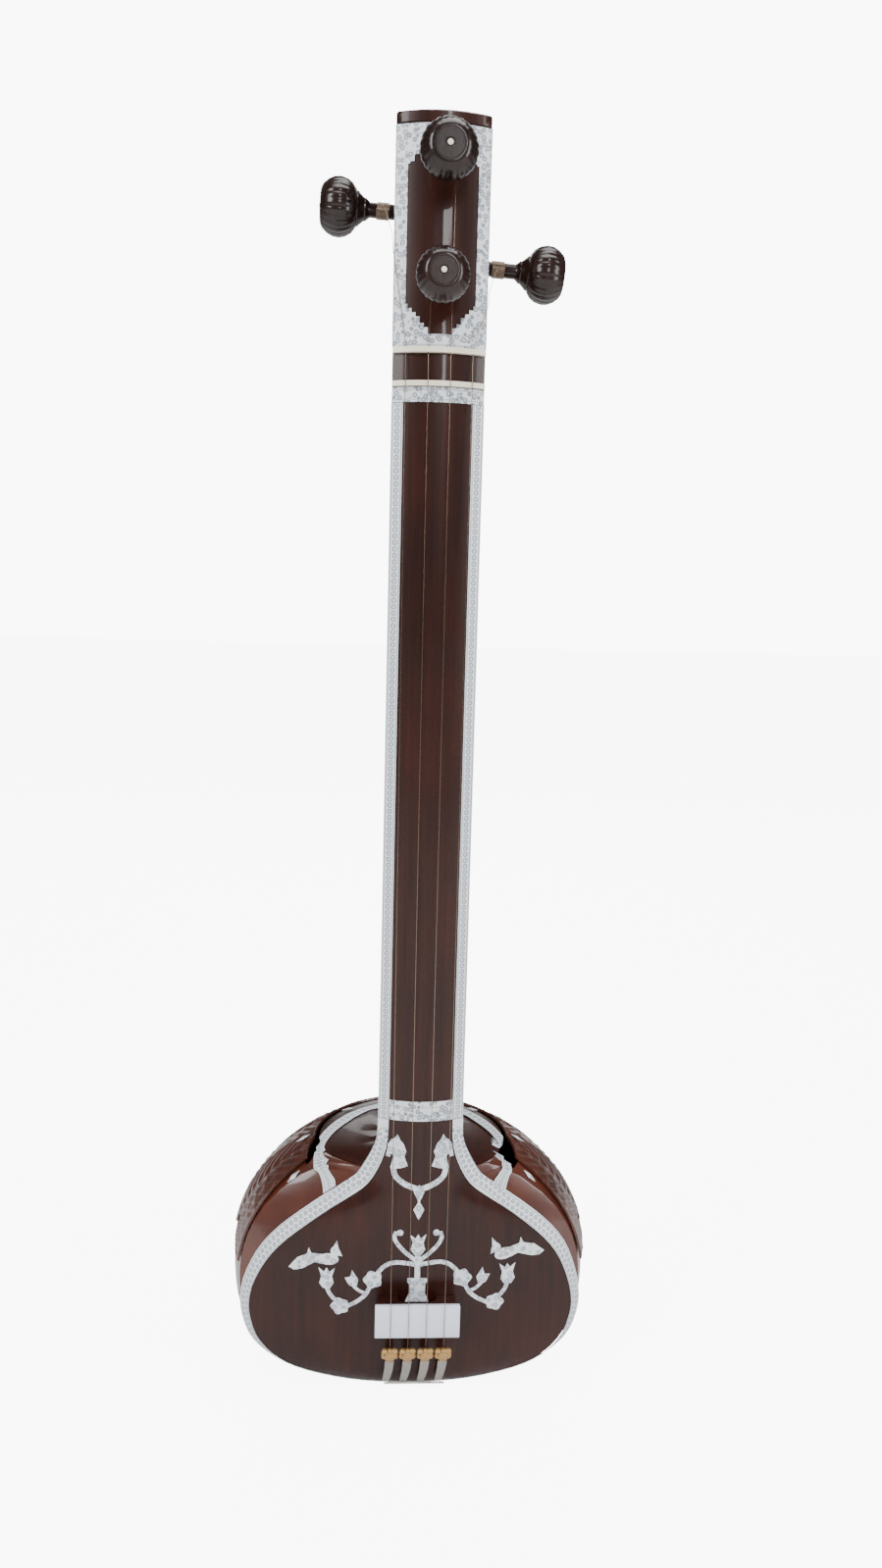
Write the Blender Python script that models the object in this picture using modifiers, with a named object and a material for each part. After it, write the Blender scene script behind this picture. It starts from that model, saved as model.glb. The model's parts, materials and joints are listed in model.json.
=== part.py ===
"""A four-stringed Indian long-necked drone lute (tanpura), standing upright on its flattened gourd.

Metres, +Z up along the neck, the front (soundboard and strings) faces -Y, and the origin is the
centre of the flat under the gourd. The gourd is a turned shape about the Z axis; the neck's front
edges and the soundboard's edge lie in the plane y = FRONT_Y.
"""

import math

import bpy
import bmesh
from mathutils import Matrix, Vector

GAP = 0.0003                    # clearance kept between pieces that touch

# Gourd: a turned shape with a flat foot, cut by the front plane
GOURD_RADIUS = 0.203
GOURD_X = -0.0065               # the gourd grew a little to one side of the neck's line
GOURD_WAIST_Z = 0.125           # height of the widest ring
GOURD_TOP_Z = 0.2995            # where the dome would close over the top
GOURD_WALL = 0.005
DOME_POWERS = (2.4, 1.5)        # the dome is fuller than an ellipse and pointed at the top
BOWL_POWER = 2.4                # squareness of the lower half
FOOT_RADIUS = 0.080
FRONT_Y = -0.082

# Neck: a U-shaped trough closed by an arched face
NECK_HALF = 0.046
NECK_BACK = 0.0575              # depth of the trough behind the face
NECK_WALL = 0.009
NECK_ARCH = 0.011               # crown of the face over its edges
FACE_THICKNESS = 0.0042
NECK_START_Z = 0.3277           # where neck, collar and soundboard meet
HEAD_TOP_Z = 1.3363
CAP_HEIGHT = 0.0117
CAP_OVERHANG = 0.0002

# Collar between the gourd and the neck
COLLAR_Z = 0.268
COLLAR_WALL = 0.009
COLLAR_FILLET = 0.008
COLLAR_Y = -0.045               # depth of the collar's middle

# Soundboard
BOARD_THICKNESS = 0.004
BOARD_CROWN = 0.012
SHOULDER_ANGLE = 70             # degrees: how flat the bevel beside the soundboard lies on the body

# Nuts, bridge and strings
LOWER_NUT_Z = HEAD_TOP_Z - 0.2423     # the nuts keep their distance from the head's top
UPPER_NUT_Z = HEAD_TOP_Z - 0.2108
NUT_THICKNESS = 0.0050
LOWER_NUT_HEIGHT = 0.0050
UPPER_NUT_HEIGHT = 0.0062
BRIDGE_Z = 0.110
BRIDGE_WIDTH = 0.0925
BRIDGE_DEPTH = 0.038
BRIDGE_HEIGHT = 0.0304          # from the soundboard's crown to the top of the plate
BRIDGE_PLATE = 0.007
BRIDGE_CROWN = 0.0018
STRING_RADIUS = 0.00035
STRING_CLEARANCE = 0.00065      # string centre above what it passes over
NUT_SPACING = 0.022
BRIDGE_SPACING = 0.0195

# Pegs, measured from the outer face of the head inwards
PEG_SHAFT_RADIUS = 0.007
PEG_TAPER = 0.0014              # how much thinner the shaft's end is
PEG_CLEARANCE = 0.0004
FRONT_PEG_REACH = 0.060         # face of the head in front of the neck's crown
SIDE_PEG_REACH = 0.073          # face of the head out from the neck's side
PEG_END = 0.002                 # how far a front shaft's end stays inside the neck's back
SIDE_PEG_END = 0.005            # how far a side shaft's end stays inside the neck's far side
FRONT_PEG_LENGTH = FRONT_PEG_REACH + NECK_ARCH + FACE_THICKNESS + GAP + NECK_BACK - PEG_END
SIDE_PEG_LENGTH = SIDE_PEG_REACH + 2 * NECK_HALF - SIDE_PEG_END
WINDING_RADIUS = PEG_SHAFT_RADIUS + 0.0013
PEG_DROPS = (0.0733, 0.1483, 0.0383, 0.1223)    # each shaft's distance below the head's top
DOT_RADIUS = 0.0027
PEG_DEPTH_Y = FRONT_Y + 0.022   # depth of the side pegs' axes

# Trim
VENEER = 0.0008
BODY_BINDING = 0.0165           # width of the white binding round the soundboard
NECK_BINDING = 0.0115           # the same on the neck, seen from the front
SEGMENTS = 28

# Half of the soundboard's edge, from the neck down to the foot: (half width, height)
BOARD_NECK = NECK_HALF - NECK_BINDING
BOARD_EDGE = [
    (BOARD_NECK, NECK_START_Z - GAP), (BOARD_NECK + 0.0005, 0.305), (BOARD_NECK + 0.0045, 0.285),
    (BOARD_NECK + 0.0115, 0.267), (BOARD_NECK + 0.0215, 0.251),
    (0.069, 0.240), (0.093, 0.224), (0.119, 0.205), (0.142, 0.186), (0.158, 0.168), (0.169, 0.149),
    (0.177, 0.128), (0.180, 0.107), (0.178, 0.090), (0.172, 0.071), (0.162, 0.056),
    (0.148, 0.043), (0.128, 0.032), (0.100, 0.023), (0.066, 0.016), (0.034, 0.0125), (0.005, 0.011),
]

FINISHES = {
    "walnut": ((0.085, 0.035, 0.022, 1.0), 0.16, 0.0),
    "gourd_brown": ((0.11, 0.045, 0.028, 1.0), 0.18, 0.0),
    "peg_wood": ((0.035, 0.02, 0.016, 1.0), 0.2, 0.0),
    "celluloid": ((0.82, 0.84, 0.86, 1.0), 0.35, 0.0),
    "bone": ((0.88, 0.86, 0.82, 1.0), 0.3, 0.0),
    "string_steel": ((0.55, 0.5, 0.45, 1.0), 0.3, 1.0),
    "gilt": ((0.75, 0.58, 0.33, 1.0), 0.35, 0.6),
    "tail_grey": ((0.5, 0.49, 0.48, 1.0), 0.45, 0.1),
}


# ---------------------------------------------------------------- helpers

def clear_scene():
    for obj in list(bpy.data.objects):
        bpy.data.objects.remove(obj, do_unlink=True)


def make_collection(name):
    collection = bpy.data.collections.new(name)
    bpy.context.scene.collection.children.link(collection)
    return collection


def make_material(name, colour, roughness, metallic):
    material = bpy.data.materials.new(name)
    material.use_nodes = True
    shader = material.node_tree.nodes["Principled BSDF"]
    shader.inputs["Base Color"].default_value = colour
    shader.inputs["Roughness"].default_value = roughness
    shader.inputs["Metallic"].default_value = metallic
    return material


def mesh_object(name, points, faces, finish, helper=False):
    """A mesh object from points and faces; a helper is a cutter and isn't part of the lute."""
    mesh = bpy.data.meshes.new(name)
    mesh.from_pydata([tuple(p) for p in points], [], faces)
    obj = bpy.data.objects.new(name, mesh)
    if helper:
        obj.hide_render = True
        obj.display_type = "WIRE"
        cutters.objects.link(obj)
    else:
        mesh.materials.append(materials[finish])
        lute.objects.link(obj)
    return obj


def recalculate_normals(obj):
    work = bmesh.new()
    work.from_mesh(obj.data)
    bmesh.ops.remove_doubles(work, verts=work.verts, dist=1e-6)
    bmesh.ops.recalc_face_normals(work, faces=work.faces)
    work.to_mesh(obj.data)
    work.free()


def bake(obj):
    """Replaces an object's mesh with its evaluated mesh, so that later Booleans see plain faces."""
    graph = bpy.context.evaluated_depsgraph_get()
    bpy.context.view_layer.update()
    made = bpy.data.meshes.new_from_object(obj.evaluated_get(graph))
    obj.modifiers.clear()
    obj.data = made
    return obj


def smooth(obj, angle=35):
    obj.data.shade_smooth()
    obj.data.set_sharp_from_angle(angle=math.radians(angle))
    return obj


def boolean(obj, other, operation):
    modifier = obj.modifiers.new(operation.title(), "BOOLEAN")
    modifier.operation = operation
    modifier.object = other
    modifier.solver = "EXACT"
    return obj


def grid(name, rows, finish, thickness, outward=(0, -1, 0), offset=-1.0):
    """An open surface through rows of points, made a plate that grows away from its outer side."""
    points = [p for row in rows for p in row]
    wide = len(rows[0])
    faces = []
    for i in range(len(rows) - 1):
        for j in range(wide - 1):
            a = i * wide + j
            faces.append((a, a + 1, a + wide + 1, a + wide))
    obj = mesh_object(name, points, faces, finish)
    middle = obj.data.polygons[len(faces) // 2]
    if middle.normal.dot(Vector(outward)) < 0:
        obj.data.flip_normals()
    modifier = obj.modifiers.new("Thickness", "SOLIDIFY")
    modifier.thickness = thickness
    modifier.offset = offset
    modifier.use_even_offset = True
    return obj


def prism(name, outline, y_front, y_back, finish=None):
    """A flat outline of (x, z) points carried from one depth to another."""
    count = len(outline)
    points = [(x, y_front, z) for x, z in outline] + [(x, y_back, z) for x, z in outline]
    faces = [tuple(range(count)), tuple(range(2 * count - 1, count - 1, -1))]
    for i in range(count):
        j = (i + 1) % count
        faces.append((i, i + count, j + count, j))
    obj = mesh_object(name, points, faces, finish, helper=finish is None)
    recalculate_normals(obj)
    return obj


def turned(name, profile, finish, steps=SEGMENTS, helper=False):
    """A solid turned about its own Z axis; the profile is (radius, height), from the top down."""
    mesh = bpy.data.meshes.new(name)
    mesh.from_pydata([(r, 0.0, z) for r, z in profile],
                     [(i, i + 1) for i in range(len(profile) - 1)], [])
    obj = bpy.data.objects.new(name, mesh)
    (cutters if helper else lute).objects.link(obj)
    if helper:
        obj.hide_render = True
        obj.display_type = "WIRE"
    modifier = obj.modifiers.new("Turn", "SCREW")
    modifier.steps = steps
    modifier.render_steps = steps
    modifier.use_merge_vertices = True
    modifier.merge_threshold = 0.00001
    bake(obj)
    if not helper:
        obj.data.materials.clear()
        obj.data.materials.append(materials[finish])
        smooth(obj)
    return obj


def drill(obj, name, radius, start, end, steps=24):
    """Cuts a round hole from start to end through an object."""
    start, end = Vector(start), Vector(end)
    length = (end - start).length
    cutter = turned(name, [(0, length), (radius, length), (radius, 0), (0, 0)], None, steps, True)
    cutter.matrix_world = aim(start, end - start)
    return boolean(obj, cutter, "DIFFERENCE")


def aim(place, direction):
    """A matrix that puts a turned piece's Z axis along a direction."""
    turn = Vector(direction).to_track_quat("Z", "Y").to_matrix().to_4x4()
    return Matrix.Translation(Vector(place)) @ turn


def wire(name, points, radius, finish, resolution=1):
    """A round wire through points, as a curve with filled ends."""
    curve = bpy.data.curves.new(name, "CURVE")
    curve.dimensions = "3D"
    curve.bevel_depth = radius
    curve.bevel_resolution = resolution
    curve.use_fill_caps = True
    spline = curve.splines.new("POLY")
    spline.points.add(len(points) - 1)
    for point, place in zip(spline.points, points):
        point.co = (*place, 1.0)
    curve.materials.append(materials[finish])
    obj = bpy.data.objects.new(name, curve)
    lute.objects.link(obj)
    return obj


def curve_through(points, steps):
    """Points along a Catmull-Rom curve through the given ones, steps to each stretch."""
    points = [Vector(p) for p in points]
    ends = [2 * points[0] - points[1], *points, 2 * points[-1] - points[-2]]
    found = []
    for i in range(1, len(ends) - 2):
        a, b, c, d = ends[i - 1:i + 3]
        for k in range(steps):
            t = k / steps
            found.append(0.5 * (2 * b + (c - a) * t + (2 * a - 5 * b + 4 * c - d) * t * t
                                + (3 * b - a - 3 * c + d) * t ** 3))
    return found + [points[-1]]


def ease(t):
    t = max(0.0, min(1.0, t))
    return t * t * (3 - 2 * t)


# ---------------------------------------------------------------- shapes of the body

def gourd_radius(z):
    """The turned gourd's radius at a height."""
    if z >= GOURD_WAIST_Z:
        rise = min(1.0, (z - GOURD_WAIST_Z) / (GOURD_TOP_Z - GOURD_WAIST_Z))
        return GOURD_RADIUS * (1 - rise ** DOME_POWERS[0]) ** (1 / DOME_POWERS[1])
    foot = (1 - (FOOT_RADIUS / GOURD_RADIUS) ** BOWL_POWER) ** (1 / BOWL_POWER)
    drop = (GOURD_WAIST_Z - z) / (GOURD_WAIST_Z / foot)
    return GOURD_RADIUS * (1 - drop ** BOWL_POWER) ** (1 / BOWL_POWER)


def lean(z):
    """How far the soundboard's middle lies to the right at a height: the body is a little crooked."""
    return -0.0055 * ease((0.220 - z) / 0.100)


def arch_y(x):
    """Front of the arched neck face at a distance from the middle."""
    return FRONT_Y - NECK_ARCH * (1 - (x / NECK_HALF) ** 2)


def board_edge_y(z):
    """Depth of the soundboard's edge: it follows the neck's arch at the top."""
    return FRONT_Y + (arch_y(BOARD_EDGE[0][0]) - FRONT_Y) * ease((z - 0.262) / 0.050)


def board_rise(z):
    """How far the soundboard's crown stands in front of its edge."""
    neck_rise = board_edge_y(NECK_START_Z) - arch_y(0.0)
    rise = neck_rise + (BOARD_CROWN - neck_rise) * ease((0.300 - z) / 0.080)
    foot_z = BOARD_EDGE[-1][1]
    return rise * math.sqrt(max(0.0, 1 - max(0.0, (0.095 - z) / (0.095 - foot_z)) ** 2.5))


def board_edge():
    """The right edge of the soundboard as a smooth line."""
    return curve_through([(x, 0.0, z) for x, z in BOARD_EDGE], 2)


def board_half(z):
    """Half width of the soundboard at a height."""
    edge = board_edge()
    for a, b in zip(edge, edge[1:]):
        if a.z >= z >= b.z:
            return a.x + (b.x - a.x) * (a.z - z) / (a.z - b.z)
    return BOARD_EDGE[0][0]


def board_y(x, z):
    """Front of the soundboard."""
    share = min(1.0, abs(x - lean(z)) / board_half(z))
    return board_edge_y(z) - board_rise(z) * (1 - share * share)


def binding_tilt(z):
    """How far the binding leans back round the soundboard: little on the neck, most at the foot."""
    at_side = math.radians(20 + 30 * ease((0.235 - z) / 0.110))
    return at_side + math.radians(12) * ease((0.080 - z) / 0.060)


def rim_sections(sign):
    """Down one edge of the soundboard: inner point and outer point of the binding."""
    edge = board_edge()
    found = []
    for i, point in enumerate(edge):
        along = (edge[min(i + 1, len(edge) - 1)] - edge[max(i - 1, 0)]).normalized()
        side = Vector((-along.z, 0.0, along.x))
        neck = ease((point.z - 0.262) / 0.050)
        width = BODY_BINDING + (NECK_BINDING + 0.00096 - BODY_BINDING) * neck
        tilt = binding_tilt(point.z) + math.radians(2.6) * neck
        inner = Vector((point.x, board_edge_y(point.z), point.z))
        outer = inner + side * width * math.cos(tilt) + Vector((0, width * math.sin(tilt), 0))
        for place in (inner, outer):
            place.x = lean(point.z) + sign * place.x
        found.append((inner, outer))
    return found


def shoulder_slope(z):
    """Outward per unit of depth of the bevel behind the binding: flat on the body, none on the neck."""
    return math.tan(math.radians(max(0.0, min(SHOULDER_ANGLE, (0.300 - z) * 1650))))


def body_keep(name, inset=0.0):
    """A closed helper that holds the body's front shape: the rim and the bevel behind it. With an inset it
    lies that far inside and reaches out through the front, to cut the hollow."""
    back_y = GOURD_RADIUS + 0.027
    levels = [[], [], []]
    for sign in (1, -1):
        sections = rim_sections(sign)
        for inner, outer in sections if sign > 0 else reversed(sections):
            rim = inner.lerp(outer, 0.36)
            rim.y = FRONT_Y + BOARD_THICKNESS + GAP
            out = Vector((outer.x, max(outer.y, rim.y + 0.002), outer.z))
            depth = back_y - out.y
            low = max(0.0, (0.118 - out.z) / 0.107)
            slope = shoulder_slope(out.z)
            far = Vector((out.x + sign * depth * slope, back_y, out.z - 0.170 * low))
            if inset:
                side = Vector((inner.x - outer.x, 0.0, inner.z - outer.z)).normalized()
                lean_back = math.sqrt(1 + slope * slope)
                inward = Vector((side.x / lean_back, slope / lean_back, side.z)) * inset
                rim += side * inset
                rim.y = FRONT_Y - 0.02
                out += inward
                far += inward
            for level, place in zip(levels, (rim, out, far)):
                level.append(place)
    count = len(levels[0])
    points = [p for level in levels for p in level]
    faces = []
    for level in range(2):
        for i in range(count):
            j = (i + 1) % count
            a, b = level * count + i, level * count + j
            faces.append((a, b, b + count, a + count))
    faces.append(tuple(range(count)))
    faces.append(tuple(range(3 * count - 1, 2 * count - 1, -1)))
    keep = mesh_object(name, points, faces, None, helper=True)
    recalculate_normals(keep)
    return keep


def ray_to_neck(y, dx, dy, half):
    """Distance from (0, y) to the neck's outline: half an ellipse behind the face."""
    base = FRONT_Y + FACE_THICKNESS + GAP
    cy = y - base
    a = (dx / half) ** 2 + (dy / NECK_BACK) ** 2
    b = 2 * cy * dy / NECK_BACK ** 2
    c = (cy / NECK_BACK) ** 2 - 1
    return (-b + math.sqrt(b * b - 4 * a * c)) / (2 * a)


def rim_at(z, sign):
    """Outer edge of the binding at a height, as (x, y)."""
    sections = rim_sections(sign)
    for (_, high), (_, low) in zip(sections, sections[1:]):
        if high.z >= z >= low.z:
            edge = high.lerp(low, (high.z - z) / (high.z - low.z))
            break
    else:
        edge = sections[0][1]
    return edge.x, max(edge.y, FRONT_Y + BOARD_THICKNESS + GAP + 0.002)


def ray_to_gourd(x, y, dx, dy, radius):
    b = (x - GOURD_X) * dx + y * dy
    inside = b * b - (x - GOURD_X) ** 2 - y * y + radius * radius
    return math.sqrt(inside) - b if inside > 0 else 0.0


def body_reach(x, y, dx, dy, z, neck=True):
    """Distance from (x, y) to the body's surface in a direction, at a height above the waist."""
    sign = 1 if dx >= 0 else -1
    edge_x, edge_y = rim_at(z, sign)
    reach = ray_to_gourd(x, y, dx, dy, gourd_radius(z))
    if neck:
        other = ray_to_neck(y, dx, dy, abs(edge_x))
        blend = max(0.0, COLLAR_FILLET - abs(reach - other))
        reach = max(reach, other) + blend * blend / (4 * COLLAR_FILLET)
    if dy < -1e-6:
        reach = min(reach, (FRONT_Y + FACE_THICKNESS + GAP - y) / dy)
    slope = shoulder_slope(z)
    across = sign * dx - slope * dy
    if across > 1e-6:
        reach = min(reach, (sign * (edge_x - x) + slope * (y - edge_y)) / across)
    return reach


# ---------------------------------------------------------------- body

def make_gourd():
    """The hollow gourd: turned, cut flat in front and open at the top for the collar."""
    top = COLLAR_Z - GAP
    profile = []
    rings = 12
    for i in range(rings + 1):
        z = top + (GOURD_WAIST_Z - top) * math.sin(math.pi / 2 * i / rings)
        profile.append((gourd_radius(z), z))
    lower = 11
    foot = (1 - (FOOT_RADIUS / GOURD_RADIUS) ** BOWL_POWER) ** (1 / BOWL_POWER)
    for i in range(1, lower + 1):
        radius = GOURD_RADIUS * math.cos(math.acos(FOOT_RADIUS / GOURD_RADIUS) * i / lower)
        drop = (1 - (radius / GOURD_RADIUS) ** BOWL_POWER) ** (1 / BOWL_POWER)
        profile.append((radius, GOURD_WAIST_Z * (1 - drop / foot)))
    profile[-1] = (FOOT_RADIUS, 0.0)
    profile.append((0.0, 0.0))
    inside = []
    for i, (radius, z) in enumerate(profile[:-1]):
        (r0, z0), (r1, z1) = profile[max(0, i - 1)], profile[min(i + 1, len(profile) - 2)]
        way = Vector((r1 - r0, z1 - z0)).normalized()
        inside.append((radius + way.y * GOURD_WALL, max(GOURD_WALL, z - way.x * GOURD_WALL)))
    mouth = inside[0][0]
    inside = [(0.0, top + 0.02), (mouth, top + 0.02)] + inside[1:] + [(0.0, GOURD_WALL)]
    gourd = turned("gourd_shell", [(0.0, top)] + profile, "gourd_brown", 48)
    gourd.location.x = GOURD_X
    boolean(gourd, body_keep("body_keep"), "INTERSECT")
    bake(gourd)
    hollow = turned("hollow", inside, None, 48, True)
    hollow.location.x = GOURD_X
    boolean(hollow, body_keep("hollow_keep", GOURD_WALL), "INTERSECT")
    bake(hollow)
    boolean(gourd, hollow, "DIFFERENCE")
    return smooth(bake(gourd))


def make_soundboard():
    """The crowned soundboard, from the neck to the foot."""
    across = 12
    rows = []
    for point in board_edge():
        shares = [2 * j / across - 1 for j in range(across + 1)]
        rows.append([(lean(point.z) + point.x * share, board_edge_y(point.z) - board_rise(point.z)
                      * (1 - share * share), point.z) for share in shares])
    board = grid("soundboard", rows, "walnut", BOARD_THICKNESS)
    return smooth(bake(board))


def make_collar():
    """The carved collar that carries the neck: its sections go from the gourd's top to the neck's."""
    levels = [0.0, 0.06, 0.13, 0.21, 0.29, 0.38, 0.48, 0.60, 0.76, 1.0]
    around = 56
    outer, inner = [], []
    for share in levels:
        z = COLLAR_Z + (NECK_START_Z - GAP - COLLAR_Z) * share
        for ring, inset in ((outer, 0.0), (inner, COLLAR_WALL)):
            row = []
            for j in range(around):
                angle = 2 * math.pi * (j + 0.5) / around
                dx, dy = math.sin(angle), -math.cos(angle)
                reach = body_reach(0.0, COLLAR_Y, dx, dy, z) - inset
                row.append((dx * reach, COLLAR_Y + dy * reach, z))
            ring.append(row)
    return smooth(tube("neck_collar", outer, inner, "walnut"))


def tube(name, outer, inner, finish):
    """A wall between two stacks of rings, closed at both ends."""
    count = len(outer[0])
    points = [p for ring in outer + inner for p in ring]
    total = len(outer)
    faces = []
    for j in range(count):
        k = (j + 1) % count
        for i in range(total - 1):
            a, b = i * count, (i + 1) * count
            faces.append((a + j, a + k, b + k, b + j))
            a, b = a + total * count, b + total * count
            faces.append((a + k, a + j, b + j, b + k))
        for i in (0, total - 1):
            a, b = i * count, (i + total) * count
            faces.append((a + j, a + k, b + k, b + j))
    obj = mesh_object(name, points, faces, finish)
    recalculate_normals(obj)
    return obj


def d_outline(grow=0.0, base=FRONT_Y + FACE_THICKNESS + GAP, steps=18):
    """Half ellipse behind the face, from the right edge round to the left."""
    half, deep = NECK_HALF + grow, NECK_BACK + grow
    return [(half * math.cos(math.pi * i / steps), base + deep * math.sin(math.pi * i / steps))
            for i in range(steps + 1)]


def upright(name, outline, z_low, z_high, finish):
    """A flat outline of (x, y) points carried up from one height to another."""
    count = len(outline)
    points = [(x, y, z_low) for x, y in outline] + [(x, y, z_high) for x, y in outline]
    faces = [tuple(range(count)), tuple(range(2 * count - 1, count - 1, -1))]
    for i in range(count):
        j = (i + 1) % count
        faces.append((i, i + count, j + count, j))
    obj = mesh_object(name, points, faces, finish)
    recalculate_normals(obj)
    return obj


def make_neck():
    """The hollow trough of the neck, with the holes for the peg shafts."""
    outline = d_outline() + list(reversed(d_outline(-NECK_WALL)))
    trough = upright("neck_trough", outline, NECK_START_Z, HEAD_TOP_Z - GAP, "walnut")
    for name, peg in PEGS.items():
        start = peg["shaft_start"] - peg["out"] * 0.002
        radius = peg["bore"]
        drill(trough, "bore_" + name, radius, start + peg["out"] * 0.060, start - peg["out"] * 0.110)
    return smooth(bake(trough))


def arched_plate(name, z_low, z_high, finish, half=NECK_HALF, lift=0.0, thickness=FACE_THICKNESS,
                 rows=2, across=10):
    """A plate with the neck's arch, from one height to another."""
    made = []
    for i in range(rows):
        z = z_low + (z_high - z_low) * i / (rows - 1)
        xs = [half * (2 * j / across - 1) for j in range(across + 1)]
        made.append([(x, arch_y(x) - lift, z) for x in xs])
    return grid(name, made, finish, thickness)


def make_faces():
    """The arched faces of the neck, of the strip between the nuts and of the peg head."""
    bake(arched_plate("neck_face", NECK_START_Z, LOWER_NUT_Z - GAP, "walnut"))
    bake(arched_plate("nut_gap_face", LOWER_NUT_Z + NUT_THICKNESS + GAP, UPPER_NUT_Z - GAP, "walnut"))
    face = bake(arched_plate("peghead_face", UPPER_NUT_Z + NUT_THICKNESS + GAP, HEAD_TOP_Z - GAP, "walnut"))
    for name in ("peg_2", "peg_3"):
        peg = PEGS[name]
        start = peg["shaft_start"] + peg["out"] * 0.010
        drill(face, "face_bore_" + name, peg["bore"], start, start - peg["out"] * 0.040)
    bake(face)


def make_head_cap():
    """The wooden cap over the end of the neck."""
    arch = []
    across = 12
    half = NECK_HALF + CAP_OVERHANG
    for j in range(across + 1):
        x = half * (2 * j / across - 1)
        arch.append((x, FRONT_Y - CAP_OVERHANG - NECK_ARCH * (1 - (x / half) ** 2)))
    cap = upright("head_cap", d_outline(CAP_OVERHANG) + arch, HEAD_TOP_Z, HEAD_TOP_Z + CAP_HEIGHT, "walnut")
    edge = cap.modifiers.new("Edge", "BEVEL")
    edge.width = 0.0015
    edge.segments = 1
    edge.limit_method = "ANGLE"
    edge.angle_limit = math.radians(60)
    return bake(cap)


# ---------------------------------------------------------------- nuts, bridge, tailpiece

def nut_outline(height):
    """A nut's front view: it stands on the trough's edges and follows the face's arch."""
    across = 10
    xs = [NECK_HALF * (2 * j / across - 1) for j in range(across + 1)]
    front = [(x, arch_y(x) - height) for x in xs]
    back = [(x, arch_y(x) + FACE_THICKNESS) for x in reversed(xs)]
    return front + back


def make_nuts():
    """The lower nut carries the strings, and the upper one guides them through four holes."""
    upright("lower_nut", nut_outline(LOWER_NUT_HEIGHT), LOWER_NUT_Z, LOWER_NUT_Z + NUT_THICKNESS, "bone")
    upper = upright("upper_nut", nut_outline(UPPER_NUT_HEIGHT), UPPER_NUT_Z, UPPER_NUT_Z + NUT_THICKNESS,
                    "bone")
    for i, x in enumerate(string_xs(NUT_SPACING)):
        y = arch_y(x) - 0.003
        drill(upper, f"guide_hole_{i + 1}", STRING_RADIUS + 0.00075, (x, y, UPPER_NUT_Z - 0.01),
              (x, y, UPPER_NUT_Z + 0.02), 10)
    bake(upper)


def bridge_top_y():
    return FRONT_Y - BOARD_CROWN - BRIDGE_HEIGHT


def make_bridge():
    """A wide bridge: a crowned playing plate on a two-footed base."""
    top = bridge_top_y()
    rows = []
    count = 8
    half_depth = BRIDGE_DEPTH / 2
    for i in range(count + 1):
        z = BRIDGE_Z + half_depth * (2 * i / count - 1)
        y = top + BRIDGE_CROWN * ((z - BRIDGE_Z) / half_depth) ** 2
        rows.append([(x, y, z) for x in (-BRIDGE_WIDTH / 2, 0.0, BRIDGE_WIDTH / 2)])
    plate = bake(grid("bridge_plate", rows, "bone", BRIDGE_PLATE))
    edge = plate.modifiers.new("Edge", "BEVEL")
    edge.width = 0.0010
    edge.segments = 2
    edge.limit_method = "ANGLE"
    edge.angle_limit = math.radians(60)
    bake(plate)
    make_bridge_base(top + BRIDGE_CROWN + BRIDGE_PLATE + GAP)


def make_bridge_base(seat_y):
    """The base under the plate: two feet cut to the soundboard's crown and an arch between them."""
    half = BRIDGE_WIDTH / 2 - 0.004
    foot = 0.020
    floor = -GAP * 2
    front = [(-half, seat_y), (half, seat_y)]
    right = [(half - foot * k / 3, board_y(half - foot * k / 3, BRIDGE_Z) + floor) for k in range(4)]
    arch = []
    steps = 8
    inner = half - foot
    for k in range(1, steps):
        angle = math.pi * k / steps
        arch.append((inner * math.cos(angle), seat_y + 0.016 - 0.009 * math.sin(angle)))
    left = [(-x, y) for x, y in reversed(right)]
    depth = BRIDGE_DEPTH * 0.36
    outline = front + right + arch + left
    upright("bridge_base", outline, BRIDGE_Z - depth, BRIDGE_Z + depth, "walnut")


def make_tailpiece():
    """A small plate under the soundboard's lower edge, where the strings are hitched."""
    inner, outer = rim_sections(1)[-1]
    along = (outer - inner).normalized()
    out = Vector((0.0, -abs(along.z), -abs(along.y)))
    start = Vector((0, inner.y, inner.z)) + along * 0.0005
    end = start + along * 0.0070
    half = 0.034
    low, high = 0.0006 + VENEER + GAP, 0.0030
    ring = [start + out * low, start + out * high, end + out * high, end + out * low]
    points = [Vector((x, p.y, p.z)) for x in (-half, half) for p in ring]
    faces = [(0, 1, 2, 3), (7, 6, 5, 4), (0, 4, 5, 1), (1, 5, 6, 2), (2, 6, 7, 3), (3, 7, 4, 0)]
    plate = mesh_object("tailpiece", [tuple(p) for p in points], faces, "bone")
    recalculate_normals(plate)
    return start + out * high


def string_xs(spacing):
    return [spacing * (i - 1.5) for i in range(4)]


def tail_line(x):
    """The stretch of a string from the bridge down to the tailpiece: its two ends."""
    top = Vector((x, bridge_top_y() - STRING_CLEARANCE + 0.0006, BRIDGE_Z - BRIDGE_DEPTH / 2 - 0.001))
    bottom = Vector((x, FRONT_Y - 0.0036, BOARD_EDGE[-1][1] + 0.001))
    return top, bottom


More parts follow.
